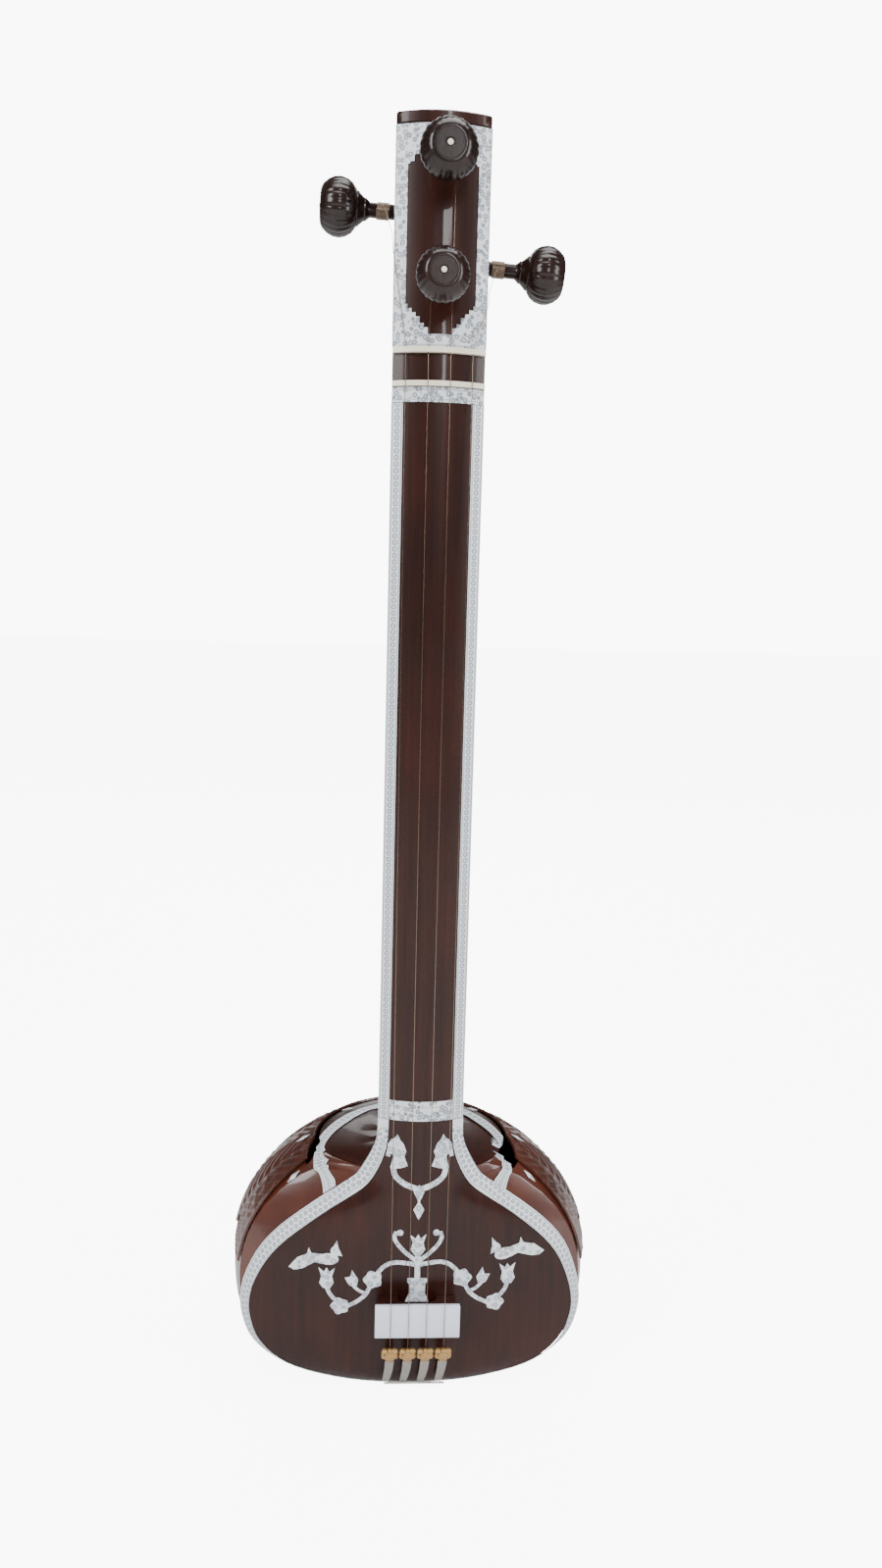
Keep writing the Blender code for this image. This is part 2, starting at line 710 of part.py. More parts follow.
def make_strings():
    """Four strings, from the tailpiece over the bridge and the lower nut to the pegs' windings."""
    y_bridge = bridge_top_y() - STRING_CLEARANCE
    for i, (xb, xn) in enumerate(zip(string_xs(BRIDGE_SPACING), string_xs(NUT_SPACING))):
        top, bottom = tail_line(xb)
        peg = PEGS[f"peg_{i + 1}"]
        points = [bottom, top,
                  Vector((xb, y_bridge - 0.0001, BRIDGE_Z - 0.012)),
                  Vector((xb, y_bridge - 0.0001, BRIDGE_Z + 0.010)),
                  Vector((xn, arch_y(xn) - LOWER_NUT_HEIGHT - STRING_CLEARANCE, LOWER_NUT_Z - 0.001)),
                  Vector((xn, arch_y(xn) - LOWER_NUT_HEIGHT - STRING_CLEARANCE,
                          LOWER_NUT_Z + NUT_THICKNESS + 0.001)),
                  Vector((xn, arch_y(xn) - 0.003, UPPER_NUT_Z - 0.001)),
                  Vector((xn, arch_y(xn) - 0.003, UPPER_NUT_Z + NUT_THICKNESS + 0.001))]
        wire(f"string_{i + 1}", points + peg["string_end"], STRING_RADIUS, "string_steel")


# ---------------------------------------------------------------- pegs

def side_direction(sign, tilt):
    return Vector((sign * math.cos(math.radians(tilt)), 0.0, math.sin(math.radians(tilt))))


def make_peg_table():
    """Each peg's place: its direction outwards, where its shaft meets the neck, its string's end."""
    crown = arch_y(0.0)
    reach = WINDING_RADIUS + STRING_CLEARANCE
    table = {}
    heights = [HEAD_TOP_Z - drop for drop in PEG_DROPS]
    for name, x, z, side, size in (("peg_2", -0.0005, heights[1], -1, 0.93),
                                   ("peg_3", 0.0025, heights[2], 1, 1.0)):
        table[name] = {
            "out": Vector((0, -1, 0)), "shaft_start": Vector((x, crown, z)),
            "reach": FRONT_PEG_REACH, "length": FRONT_PEG_LENGTH, "winding": (0.0490, 0.0570),
            "size": size,
            "string_end": [Vector((x + side * reach, crown - 0.0070, z))],
        }
    for name, sign, z, tilt, more in (("peg_1", -1, heights[0], 3.0, 0.0),
                                      ("peg_4", 1, heights[3], -4.0, 0.0045)):
        out = side_direction(sign, tilt)
        corner = NECK_HALF + 0.0014
        table[name] = {
            "out": out, "shaft_start": Vector((sign * NECK_HALF, PEG_DEPTH_Y, z)),
            "reach": SIDE_PEG_REACH + more, "length": SIDE_PEG_LENGTH + more,
            "winding": (0.0540 + more, 0.0680 + more), "size": 1.0,
            "string_end": [Vector((sign * corner, FRONT_Y - 0.0022, z - 0.040)),
                           Vector((sign * (corner + 0.0008), FRONT_Y + 0.0010, z - 0.026)),
                           Vector((sign * (NECK_HALF + 0.0100), PEG_DEPTH_Y - reach - 0.0002,
                                   z + 0.0006 * tilt))],
        }
    for peg in table.values():
        peg["bore"] = PEG_SHAFT_RADIUS + PEG_CLEARANCE
    return dict(sorted(table.items()))


PEG_HEAD = [(0.0165, 0.0), (0.0205, 0.0018), (0.0247, 0.0070), (0.0274, 0.0130), (0.0280, 0.0190),
            (0.0264, 0.0255), (0.0230, 0.0310), (0.0180, 0.0348), (0.0160, 0.0362), (0.0118, 0.0410),
            (0.0088, 0.0460)]


def make_pegs():
    """Four turned pegs, each with a bone dot and the string wound round its shaft."""
    for name, peg in PEGS.items():
        number = name[-1]
        face = peg["shaft_start"] + peg["out"] * peg["reach"]
        frame = aim(face, peg["out"])
        radius = PEG_SHAFT_RADIUS
        profile = [(0.0, 0.0)] + [(r * peg["size"], -a) for r, a in PEG_HEAD]
        profile += [(radius, -0.0485), (radius, -peg["reach"] - 0.002),
                    (radius - PEG_TAPER, -peg["length"]), (0.0, -peg["length"])]
        body = turned(name, profile, "peg_wood")
        body.matrix_world = frame
        dot = turned(f"peg_dot_{number}", [(0, 0.0013), (DOT_RADIUS * 0.7, 0.0013), (DOT_RADIUS, 0.0008),
                                           (DOT_RADIUS, GAP), (0, GAP)], "bone", 12)
        dot.matrix_world = frame
        near, far = peg["winding"]
        inner = radius + GAP
        ring = turned(f"peg_winding_{number}",
                      [(WINDING_RADIUS - 0.0005, -near), (WINDING_RADIUS, -near - 0.001),
                       (WINDING_RADIUS, -far + 0.001), (WINDING_RADIUS - 0.0005, -far),
                       (inner, -far), (inner, -near), (WINDING_RADIUS - 0.0005, -near)],
                      "string_steel", 28)
        recalculate_normals(ring)
        ring.matrix_world = frame


# ---------------------------------------------------------------- fine tuners

TUNER_DISTANCE = 0.0265         # from the bridge end of the string's lower stretch
TUNER_HALF = (0.0093, 0.0062, 0.0098)


def make_tuners():
    """Four bird-shaped beads that slide on the strings below the bridge, each with a fluted tail."""
    for i, x in enumerate(string_xs(BRIDGE_SPACING)):
        top, bottom = tail_line(x)
        down = (bottom - top).normalized()
        front = Vector((0, down.z, -down.y)).normalized()
        if front.y > 0:
            front.negate()
        middle = top + down * TUNER_DISTANCE
        work = bmesh.new()
        bmesh.ops.create_uvsphere(work, u_segments=16, v_segments=10, radius=1.0)
        mesh = bpy.data.meshes.new(f"tuner_bead_{i + 1}")
        work.to_mesh(mesh)
        work.free()
        frame = Matrix((Vector((1, 0, 0)), front, -down)).transposed().to_4x4()
        frame.translation = middle
        mesh.transform(Matrix.Diagonal((*TUNER_HALF, 1.0)))
        mesh.materials.append(materials["gilt"])
        bead = bpy.data.objects.new(f"tuner_bead_{i + 1}", mesh)
        lute.objects.link(bead)
        bead.matrix_world = frame
        bpy.context.view_layer.update()
        drill(bead, f"bead_hole_{i + 1}", STRING_RADIUS + 0.00055, middle - down * 0.02,
              middle + down * 0.02, 10)
        make_tail(i + 1, frame)


def make_tail(number, frame):
    """A fluted tail in front of the string, from under the bead down to the soundboard's edge."""
    length, start = 0.0400, TUNER_HALF[2] + GAP
    lift, thick = 0.0016, 0.0022
    sides = [(0.0050, 0.0), (0.0047, 0.4), (0.0042, 0.75), (0.0036, 1.0)]
    bend = 0.0036
    right = [(w - bend * t * t, -(start + length * t)) for w, t in sides]
    left = [(-w - bend * t * t, -(start + length * t)) for w, t in reversed(sides)]
    outline = right + left
    count = len(outline)
    points = [(x, lift, z) for x, z in outline] + [(x, lift + thick, z) for x, z in outline]
    faces = [tuple(range(count)), tuple(range(2 * count - 1, count - 1, -1))]
    for i in range(count):
        j = (i + 1) % count
        faces.append((i, i + count, j + count, j))
    tail = mesh_object(f"tuner_tail_{number}", points, faces, "tail_grey")
    recalculate_normals(tail)
    tail.matrix_world = frame


# ---------------------------------------------------------------- trim

def on_board(shapes, name, finish, lift=GAP, thickness=VENEER):
    """A thin inlay of (x, z) shapes joined into one, laid on the soundboard's crown."""
    xs = [p[0] for shape in shapes for p in shape]
    zs = [p[1] for shape in shapes for p in shape]
    margin = 0.002
    x0, x1 = min(xs) - margin, max(xs) + margin
    z0, z1 = min(zs) - margin, max(zs) + margin
    wide = max(2, round((x1 - x0) / 0.010))
    tall = max(2, round((z1 - z0) / 0.009))
    rows = []
    for i in range(tall + 1):
        z = z0 + (z1 - z0) * i / tall
        rows.append([(x0 + (x1 - x0) * j / wide, board_y(x0 + (x1 - x0) * j / wide, z) - lift, z)
                     for j in range(wide + 1)])
    slab = grid(name, rows, finish, thickness, offset=1.0)
    bake(slab)
    cutter = prism("outline_" + name, shapes[0], FRONT_Y - 0.05, FRONT_Y + 0.03)
    for k, shape in enumerate(shapes[1:], 1):
        more = prism(f"outline_{name}_{k}", shape, FRONT_Y - 0.05 - 0.0002 * k, FRONT_Y + 0.03 + 0.0002 * k)
        boolean(cutter, more, "UNION")
        bake(cutter)
    boolean(slab, cutter, "INTERSECT")
    return bake(slab)


def make_binding_strips():
    """White bindings: up the neck's edges, across it, and round the soundboard."""
    top, bottom = LOWER_NUT_Z - 0.0155, NECK_START_Z + GAP
    for side, sign in (("left", -1), ("right", 1)):
        rows = []
        for z in (bottom, top):
            xs = [NECK_HALF - NECK_BINDING * k / 2 for k in range(3)]
            rows.append([(sign * x, arch_y(x) - GAP, z) for x in xs])
        bake(grid(f"neck_binding_{side}", rows, "celluloid", VENEER, offset=1.0))
        make_board_binding(side, sign)
    bake(arched_plate("nut_band", LOWER_NUT_Z - 0.0150, LOWER_NUT_Z - 2 * GAP, "celluloid",
                      lift=GAP + VENEER, thickness=VENEER))
    bake(arched_plate("joint_band", NECK_START_Z + GAP, NECK_START_Z + 0.0225, "celluloid",
                      half=NECK_HALF - NECK_BINDING - GAP, lift=GAP + VENEER, thickness=VENEER))


def make_board_binding(side, sign):
    """The wide binding that leans back round one half of the soundboard."""
    rows = []
    for inner, outer in rim_sections(sign):
        slope = (outer - inner).normalized()
        out = Vector((slope.y * slope.x, -(slope.x ** 2 + slope.z ** 2), slope.y * slope.z)).normalized()
        rows.append([inner.lerp(outer, share) + out * 0.0006 for share in (0.0, 0.5, 1.0)])
    middle = lean(BOARD_EDGE[-1][1]) + sign * GAP
    rows.append([Vector((middle, p.y, p.z)) for p in rows[-1]])
    return bake(grid(f"soundboard_binding_{side}", rows, "celluloid", VENEER, offset=1.0))


def make_peghead_frame():
    """The engraved frame round the peg head's panel, with clipped corners."""
    low, high = UPPER_NUT_Z + NUT_THICKNESS + 2 * GAP, HEAD_TOP_Z - 2 * GAP
    edge = NECK_HALF - NECK_BINDING
    inner_low, inner_high = low + 0.013, high - 0.009
    corner_x, corner_z = 0.0085, 0.030

    def opening(x):
        share = max(0.0, min(1.0, (x - corner_x) / (edge - corner_x)))
        return inner_low + corner_z * share, inner_high - corner_z * share

    step = (edge - corner_x) / 3
    columns = [0.0, corner_x, corner_x + step, corner_x + 2 * step, edge, edge + 0.0055, NECK_HALF]
    xs = [-x for x in reversed(columns[1:])] + columns
    points, index, faces = [], {}, []
    for x in xs:
        bottom, top = opening(abs(x))
        for z in (low, bottom, top, high):
            index[(x, len(index) % 4)] = len(points)
            points.append((x, arch_y(x) - GAP, z))
    for i in range(len(xs) - 1):
        a, b = 4 * i, 4 * (i + 1)
        for k in (0, 2):
            faces.append((a + k, b + k, b + k + 1, a + k + 1))
        if min(abs(xs[i]), abs(xs[i + 1])) > edge - 1e-6:
            faces.append((a + 1, b + 1, b + 2, a + 2))
    frame = mesh_object("peghead_frame", points, faces, "celluloid")
    if frame.data.polygons[0].normal.y > 0:
        frame.data.flip_normals()
    thick = frame.modifiers.new("Thickness", "SOLIDIFY")
    thick.thickness = VENEER
    thick.offset = 1.0
    return bake(frame)


def shoulder_point(z, angle, lift, sign):
    """A point lifted off the body's shoulder: a height and an angle from the front, in degrees."""
    def at(height, turn):
        turn = math.radians(turn)
        dx, dy = sign * math.sin(turn), -math.cos(turn)
        reach = body_reach(GOURD_X, 0.0, dx, dy, height, neck=False)
        return Vector((GOURD_X + dx * reach, dy * reach, height))
    place = at(z, angle)
    up = at(z + 0.001, angle) - at(z - 0.001, angle)
    round_ = at(z, angle + 0.5) - at(z, angle - 0.5)
    out = up.cross(round_).normalized()
    if out.dot(Vector((place.x - GOURD_X, place.y, 0.05))) < 0:
        out.negate()
    return place + out * lift


def on_shoulder(name, rows, finish, thickness, sign, lift):
    """A plate on the shoulder through rows of (height, angle) points."""
    made = [[shoulder_point(z, angle, lift, sign) for z, angle in row] for row in rows]
    return bake(grid(name, made, finish, thickness, outward=(sign, -0.1, 0.5), offset=1.0))


TRIM_LIFT = 0.0012              # flat facets of the trim stay clear of the round body
LEAF_THICKNESS = 0.0028
LEAVES = 4
def ridge_angle(z, sign):
    """Angle from the front at which the bevel beside the soundboard meets the round gourd, in degrees."""
    low, high = 30.0, 120.0
    for _ in range(20):
        middle = (low + high) / 2
        turn = math.radians(middle)
        reach = body_reach(GOURD_X, 0.0, sign * math.sin(turn), -math.cos(turn), z, neck=False)
        low, high = (middle, high) if reach < gourd_radius(z) - 1e-6 else (low, middle)
    return high


LEAF_FROM, LEAF_TO = ridge_angle(0.165, -1), 179.4      # the leaves start where the bevel ends
# The curved binding on the shoulder: (height, degrees behind the leaves' front) of its outer and inner edges
ARC_PAIRS = [((0.242, -17), (0.250, -21)), ((0.248, -15), (0.255, -18)), ((0.256, -11), (0.261, -14)),
             ((0.262, -1), (0.266, -6)), ((0.266, 9), (0.271, 4)), ((0.272, 21), (0.277, 13)),
             ((0.279, 36), (0.284, 24))]
SHOULDER_ARC = [tuple((z, LEAF_FROM + turn) for z, turn in pair) for pair in ARC_PAIRS]


def leaf_top(angle):
    """Height at which the carved leaves end under the curved binding."""
    outer = [pair[0] for pair in SHOULDER_ARC]
    for (z0, a0), (z1, a1) in zip(outer, outer[1:]):
        if a0 <= angle <= a1:
            return min(COLLAR_Z - 0.002, z0 + (z1 - z0) * (angle - a0) / (a1 - a0) - 0.004)
    return COLLAR_Z - 0.002


def leaf_foot(angle):
    """Height of the leaves' pointed tips and the bays between them."""
    return 0.178 - 0.028 * abs(math.cos(math.pi * LEAVES * (angle - LEAF_FROM) / (LEAF_TO - LEAF_FROM)))


def arc_rows(parts):
    """The curved binding's pairs of edge points, each stretch cut into parts that follow the body."""
    found = []
    for (outer, inner), (next_outer, next_inner) in zip(SHOULDER_ARC, SHOULDER_ARC[1:]):
        for k in range(parts):
            t = k / parts
            found.append([(a[0] + (b[0] - a[0]) * t, a[1] + (b[1] - a[1]) * t)
                          for a, b in ((outer, next_outer), (inner, next_inner))])
    return found + [SHOULDER_ARC[-1]]


def make_shoulders():
    """On each shoulder: carved leaves, a curved binding in front of them and three lozenges."""
    for side, sign in (("left", -1), ("right", 1)):
        rows = []
        across, up = 24, 8
        for i in range(up + 1):
            row = []
            for j in range(across + 1):
                angle = LEAF_FROM + (LEAF_TO - LEAF_FROM) * j / across
                low = leaf_foot(angle)
                row.append((low + (leaf_top(angle) - low) * i / up, angle))
            rows.append(row)
        on_shoulder(f"leaf_carving_{side}", rows, "walnut", LEAF_THICKNESS, sign, TRIM_LIFT)
        rows = []
        for (z0, a0), (z1, a1) in arc_rows(2):
            rows.append([(z0 + (z1 - z0) * k / 4, a0 + (a1 - a0) * k / 4) for k in range(5)])
        on_shoulder(f"shoulder_binding_{side}", rows, "celluloid", VENEER, sign, TRIM_LIFT + VENEER)
        for k, (z, behind, lift) in enumerate(((0.2760, 55.0, TRIM_LIFT), (0.2635, 21.0, 0.0047),
                                               (0.2475, -7.5, 0.0026))):
            middle = LEAF_FROM + behind
            long = math.degrees(0.0080 / gourd_radius(z))
            rows = [[(z - 0.0030, middle - 0.1), (z - 0.0030, middle + 0.1)],
                    [(z, middle - long), (z, middle + long)],
                    [(z + 0.0030, middle - 0.1), (z + 0.0030, middle + 0.1)]]
            on_shoulder(f"lozenge_{side}_{k + 1}", rows, "celluloid", VENEER, sign, lift)


# The right branch was laid a little higher than the left one, and its bird more level, in degrees
RIGHT_VINE_TURN = 2.4
RIGHT_BIRD_TURN = 12
PETALS = 5


def ribbon(points, half):
    """A stem of even width along a smooth line, in mm."""
    line = [Vector((x, z)) for x, z in points]
    if len(line) > 2:
        line = [Vector((p.x, p.y)) for p in curve_through([(x, z, 0) for x, z in points], 3)]
    left, right = [], []
    for i, point in enumerate(line):
        way = (line[min(i + 1, len(line) - 1)] - line[max(i - 1, 0)]).normalized()
        side = Vector((-way.y, way.x)) * half
        left.append(tuple(point + side))
        right.append(tuple(point - side))
    return left + right[::-1]


def round_shape(x, z, wide, tall, lobes=0, depth=0.0, steps=20):
    """An ellipse, or a flower with lobes, in mm."""
    found = []
    for k in range(steps):
        turn = 2 * math.pi * k / steps
        reach = 1 + depth * math.cos(lobes * turn)
        found.append((x + wide * reach * math.cos(turn), z + tall * reach * math.sin(turn)))
    return found


def flower(x, z, radius):
    return round_shape(x, z, radius, radius, PETALS, 0.12)


def tulip(x, z):
    """A cup of three pointed petals round a middle point."""
    half = [(4, -11), (8, -5), (6, 3), (9, 13), (3, 8)]
    return [(x + a, z + b) for a, b in half] + [(x, z + 13)] + [(x - a, z + b) for a, b in reversed(half)]


def mirrored(shape):
    return [(-x, z) for x, z in reversed(shape)]


def turned_about(shapes, x, z, degrees):
    c, s = math.cos(math.radians(degrees)), math.sin(math.radians(degrees))
    return [[(x + c * (a - x) - s * (b - z), z + s * (a - x) + c * (b - z)) for a, b in shape]
            for shape in shapes]


def lay(shapes, name):
    """Lays shapes drawn in mm on the soundboard."""
    on_board([[(x * 0.001, z * 0.001) for x, z in shape] for shape in shapes], name, "celluloid")


def horse_shapes():
    """Two horse heads, joined by a garland that carries a drop."""
    head = [(28, 271), (21, 272), (13, 275), (17, 286), (15, 292), (18, 301), (22, 306), (25, 312),
            (28, 307), (32, 305), (35, 299), (37, 285), (33, 284), (31, 289), (29, 285), (32, 272)]
    garland = ribbon([(0, 249), (10, 252), (20, 257), (27, 264), (29, 274)], 3)
    knot = [(0, 234), (6, 246), (0, 254), (-6, 246)]
    drop = [(0, 214), (6, 226), (0, 236), (-6, 226)]
    link = ribbon([(0, 232), (0, 240)], 1.2)
    return [knot, link, drop, garland, mirrored(garland), head, mirrored(head)]


def vase_shapes():
    """A vase with a tulip, two curled shoots and the starts of the two branches."""
    pot = [(13, 117), (9, 127), (9, 138), (11, 141), (11, 145)]
    shoot = ribbon([(2, 166), (14, 176), (22, 185), (26, 193), (24, 200)], 2.2)
    branch = ribbon([(0, 160), (6, 162), (12, 163)], 2.4)
    return [pot + mirrored(pot), ribbon([(0, 143), (0, 174)], 3), branch, mirrored(branch), shoot,
            mirrored(shoot), round_shape(20, 199, 3.6, 3.6, steps=12),
            round_shape(-20, 199, 3.6, 3.6, steps=12), tulip(0, 184)]


def vine_shapes():
    """A branch with two flowers, a bud and a tulip at its end."""
    bud = [(67, 133), (65, 143), (72, 154), (74, 146), (80, 145), (75, 136)]
    return [ribbon([(13, 163), (22, 164), (32, 162), (40, 156), (45, 149)], 2.4), flower(49, 143, 10),
            ribbon([(52, 135), (57, 125), (66, 117), (77, 111)], 2.2),
            ribbon([(56, 127), (63, 129), (70, 135)], 1.7), bud, flower(85, 111, 9.5),
            ribbon([(89, 117), (96, 125), (100, 134)], 2.2), tulip(100, 143)]


def bird_shapes():
    """A long-tailed bird that looks towards the middle."""
    tail = [(102, 171), (117, 172), (120, 178), (122, 171), (133, 166), (142, 155), (136, 152), (127, 154),
            (113, 162), (104, 160)]
    return [round_shape(98, 166, 11, 6.5), tail, round_shape(91, 175, 5, 6, steps=14),
            [(90, 171), (83, 170), (86, 177)], [(87, 178), (89, 188), (94, 178)]]


def make_inlays():
    """The soundboard's inlays: paired horse heads with a drop, and a vase of flowering vines with birds."""
    lay(horse_shapes(), "horse_inlay")
    lay(vase_shapes(), "vase_inlay")
    vine, bird = vine_shapes(), bird_shapes()
    lay([mirrored(shape) for shape in vine], "vine_inlay_left")
    lay([mirrored(shape) for shape in bird], "bird_inlay_left")
    lay(turned_about(vine, 12, 163, RIGHT_VINE_TURN), "vine_inlay_right")
    raised = [[(x, z + 2) for x, z in shape] for shape in turned_about(bird, 12, 163, RIGHT_VINE_TURN)]
    lay(turned_about(raised, 98, 164, RIGHT_BIRD_TURN), "bird_inlay_right")


# ---------------------------------------------------------------- assembly

clear_scene()
lute = make_collection("tanpura")
cutters = make_collection("cutters")
materials = {name: make_material(name, *values) for name, values in FINISHES.items()}
PEGS = make_peg_table()

make_gourd()
make_soundboard()
make_collar()
make_neck()
make_faces()
make_head_cap()
make_nuts()
make_bridge()
make_tailpiece()
make_strings()
make_pegs()
make_tuners()
make_binding_strips()
make_peghead_frame()
make_shoulders()
make_inlays()
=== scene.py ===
import json
import math

import bpy
from bpy.props import FloatProperty, IntProperty, PointerProperty, StringProperty
from mathutils import Matrix, Vector
from mathutils.bvhtree import BVHTree

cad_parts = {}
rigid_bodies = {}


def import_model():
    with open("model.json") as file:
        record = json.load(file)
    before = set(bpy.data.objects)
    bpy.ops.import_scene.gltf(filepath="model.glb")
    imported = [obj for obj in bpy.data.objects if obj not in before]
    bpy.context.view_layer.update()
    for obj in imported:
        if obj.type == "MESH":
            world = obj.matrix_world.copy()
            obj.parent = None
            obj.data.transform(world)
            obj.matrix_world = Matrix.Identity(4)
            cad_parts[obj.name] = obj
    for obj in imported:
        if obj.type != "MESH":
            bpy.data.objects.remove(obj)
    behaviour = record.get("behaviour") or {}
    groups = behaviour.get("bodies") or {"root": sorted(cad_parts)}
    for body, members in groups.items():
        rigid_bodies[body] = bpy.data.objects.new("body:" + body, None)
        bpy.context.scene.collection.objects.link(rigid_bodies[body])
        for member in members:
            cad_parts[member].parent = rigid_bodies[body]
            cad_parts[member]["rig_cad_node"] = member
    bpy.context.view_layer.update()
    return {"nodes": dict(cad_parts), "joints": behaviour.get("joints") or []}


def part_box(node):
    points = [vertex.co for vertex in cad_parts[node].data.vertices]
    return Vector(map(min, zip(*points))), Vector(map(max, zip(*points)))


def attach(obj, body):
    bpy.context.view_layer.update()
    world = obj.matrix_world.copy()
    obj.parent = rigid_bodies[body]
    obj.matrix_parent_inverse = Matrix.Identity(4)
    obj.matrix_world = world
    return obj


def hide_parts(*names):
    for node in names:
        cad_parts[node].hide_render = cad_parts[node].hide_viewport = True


bl_info = {
    "name": "Tanpura finisher",
    "version": (1, 0, 0),
    "blender": (4, 5, 0),
    "location": "View3D > Sidebar > Tanpura",
    "description": "Builds the finished surfaces, carving and trim of a tanpura round its fixed frame",
    "category": "Object",
}

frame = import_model()
MM = 0.001
BODY = "instrument"
GOURD_X = sum(corner.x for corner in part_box("gourd_shell")) / 2      # the gourd's axis is a little off the neck's
HEAD_ARCH = 11 * MM              # crown of the neck's face over its edges
RAY_START = 0.4                  # rays to the body start this far from the gourd's axis, outside every surface
RAY_BACK = 0.35                  # where no ray meets one, the nearest point is sought this far back inwards


# ---------------------------------------------------------------- sizes and colours

class TanpuraSizes(bpy.types.PropertyGroup):
    """Sizes a maker would change."""
    peg_ribs: IntProperty(name="Peg ribs", description="Ribs round each peg's bulb", default=24, min=8, max=40)
    rib_depth: FloatProperty(name="Rib depth", description="Depth of the grooves between a peg's ribs",
                             default=0.7 * MM, unit="LENGTH")
    coil_pitch: FloatProperty(name="Coil pitch", description="Spacing of the string's turns on a peg",
                              default=0.9 * MM, unit="LENGTH")
    leaf_relief: FloatProperty(name="Leaf relief", description="Depth of the carved veins on the shoulders",
                               default=1.7 * MM, unit="LENGTH")
    flutes: IntProperty(name="Tail flutes", description="Ridges down each tuner's tail", default=5, min=2, max=9)
    floor_size: FloatProperty(name="Floor", description="Width of the studio floor", default=40.0, unit="LENGTH")


class TanpuraColours(bpy.types.PropertyGroup):
    """Colours of the finishes, as sRGB hex."""
    walnut_dark: StringProperty(name="Wood, dark", description="Dark streaks of the stained wood",
                                default="#1a0906")
    walnut_light: StringProperty(name="Wood, light", description="Light streaks of the stained wood",
                                 default="#36150c")
    gourd_red: StringProperty(name="Gourd", description="Stained gourd skin", default="#5a2a1a")
    celluloid: StringProperty(name="Celluloid", description="White binding sheet", default="#d9dfe5")
    engraving: StringProperty(name="Engraving", description="Ink rubbed in the engraved lines", default="#2c3a4a")
    bone: StringProperty(name="Bone", description="Nuts and dots", default="#e9dfcb")
    brass: StringProperty(name="Brass", description="Gilt of the tuning beads", default="#b8925c")
    tail: StringProperty(name="Tails", description="Dull metal of the fluted tails", default="#9c9793")


def colours():
    return bpy.context.scene.tanpura_colours


def sizes():
    return bpy.context.scene.tanpura_sizes


# ---------------------------------------------------------------- materials

def linear(text):
    """An sRGB hex colour as linear RGBA."""
    found = []
    for i in (1, 3, 5):
        c = int(text[i:i + 2], 16) / 255
        found.append(c / 12.92 if c <= 0.04045 else ((c + 0.055) / 1.055) ** 2.4)
    return (*found, 1.0)


def add(tree, kind, *inputs, **settings):
    """Adds a node and gives its first output. Inputs go to its sockets in order: a socket is linked, a number
    or colour is set, and None is left."""
    node = tree.nodes.new("ShaderNode" + kind)
    for name, value in settings.items():
        setattr(node, name, value)
    for socket, value in zip(node.inputs, inputs):
        if isinstance(value, bpy.types.NodeSocket):
            tree.links.new(value, socket)
        elif value is not None:
            socket.default_value = value
    return node.outputs[0] if node.outputs else node


def finish(name, base, roughness, metallic=0.0, coat=0.0, ior=1.5, normal=None):
    """Starts a material: base is a colour, or a function of the tree that gives a colour socket."""
    material = bpy.data.materials.new(name)
    material.use_nodes = True
    tree = material.node_tree
    shader = tree.nodes["Principled BSDF"]
    shader.inputs["Roughness"].default_value = roughness
    shader.inputs["Metallic"].default_value = metallic
    shader.inputs["Coat Weight"].default_value = coat
    shader.inputs["Coat Roughness"].default_value = 0.06
    if metallic < 0.5:
        shader.inputs["IOR"].default_value = ior
    if callable(base):
        tree.links.new(base(tree), shader.inputs["Base Color"])
    else:
        shader.inputs["Base Color"].default_value = linear(base)
    if normal:
        tree.links.new(normal(tree), shader.inputs["Normal"])
    return material


def grain(dark, light, across_mm, along_mm, streak=0.55):
    """Colour of wood whose grain runs up the instrument: streaks across_mm apart and along_mm long."""
    def make(tree):
        place = add(tree, "TexCoord").node.outputs["Object"]
        stretched = add(tree, "Mapping", place, None, None,
                        (1 / (across_mm * MM), 1 / (across_mm * MM), 1 / (along_mm * MM)))
        streaks = add(tree, "TexNoise", stretched, None, 1.0, 5.0, 0.6)
        broad = add(tree, "TexNoise", place, None, 9.0, 2.0, 0.5)
        both = add(tree, "Mix", streak, None, broad, streaks, data_type="FLOAT")
        ramp = add(tree, "ValToRGB", both)
        first, last = ramp.node.color_ramp.elements
        first.position, last.position = 0.32, 0.70
        first.color, last.color = linear(dark), linear(light)
        return ramp
    return make


def bump(height, distance_mm, strength=1.0):
    """A normal from a function of the tree that gives a height socket."""
    def make(tree):
        normal = add(tree, "Bump", strength, distance_mm * MM)
        tree.links.new(height(tree), normal.node.inputs["Height"])
        return normal
    return make


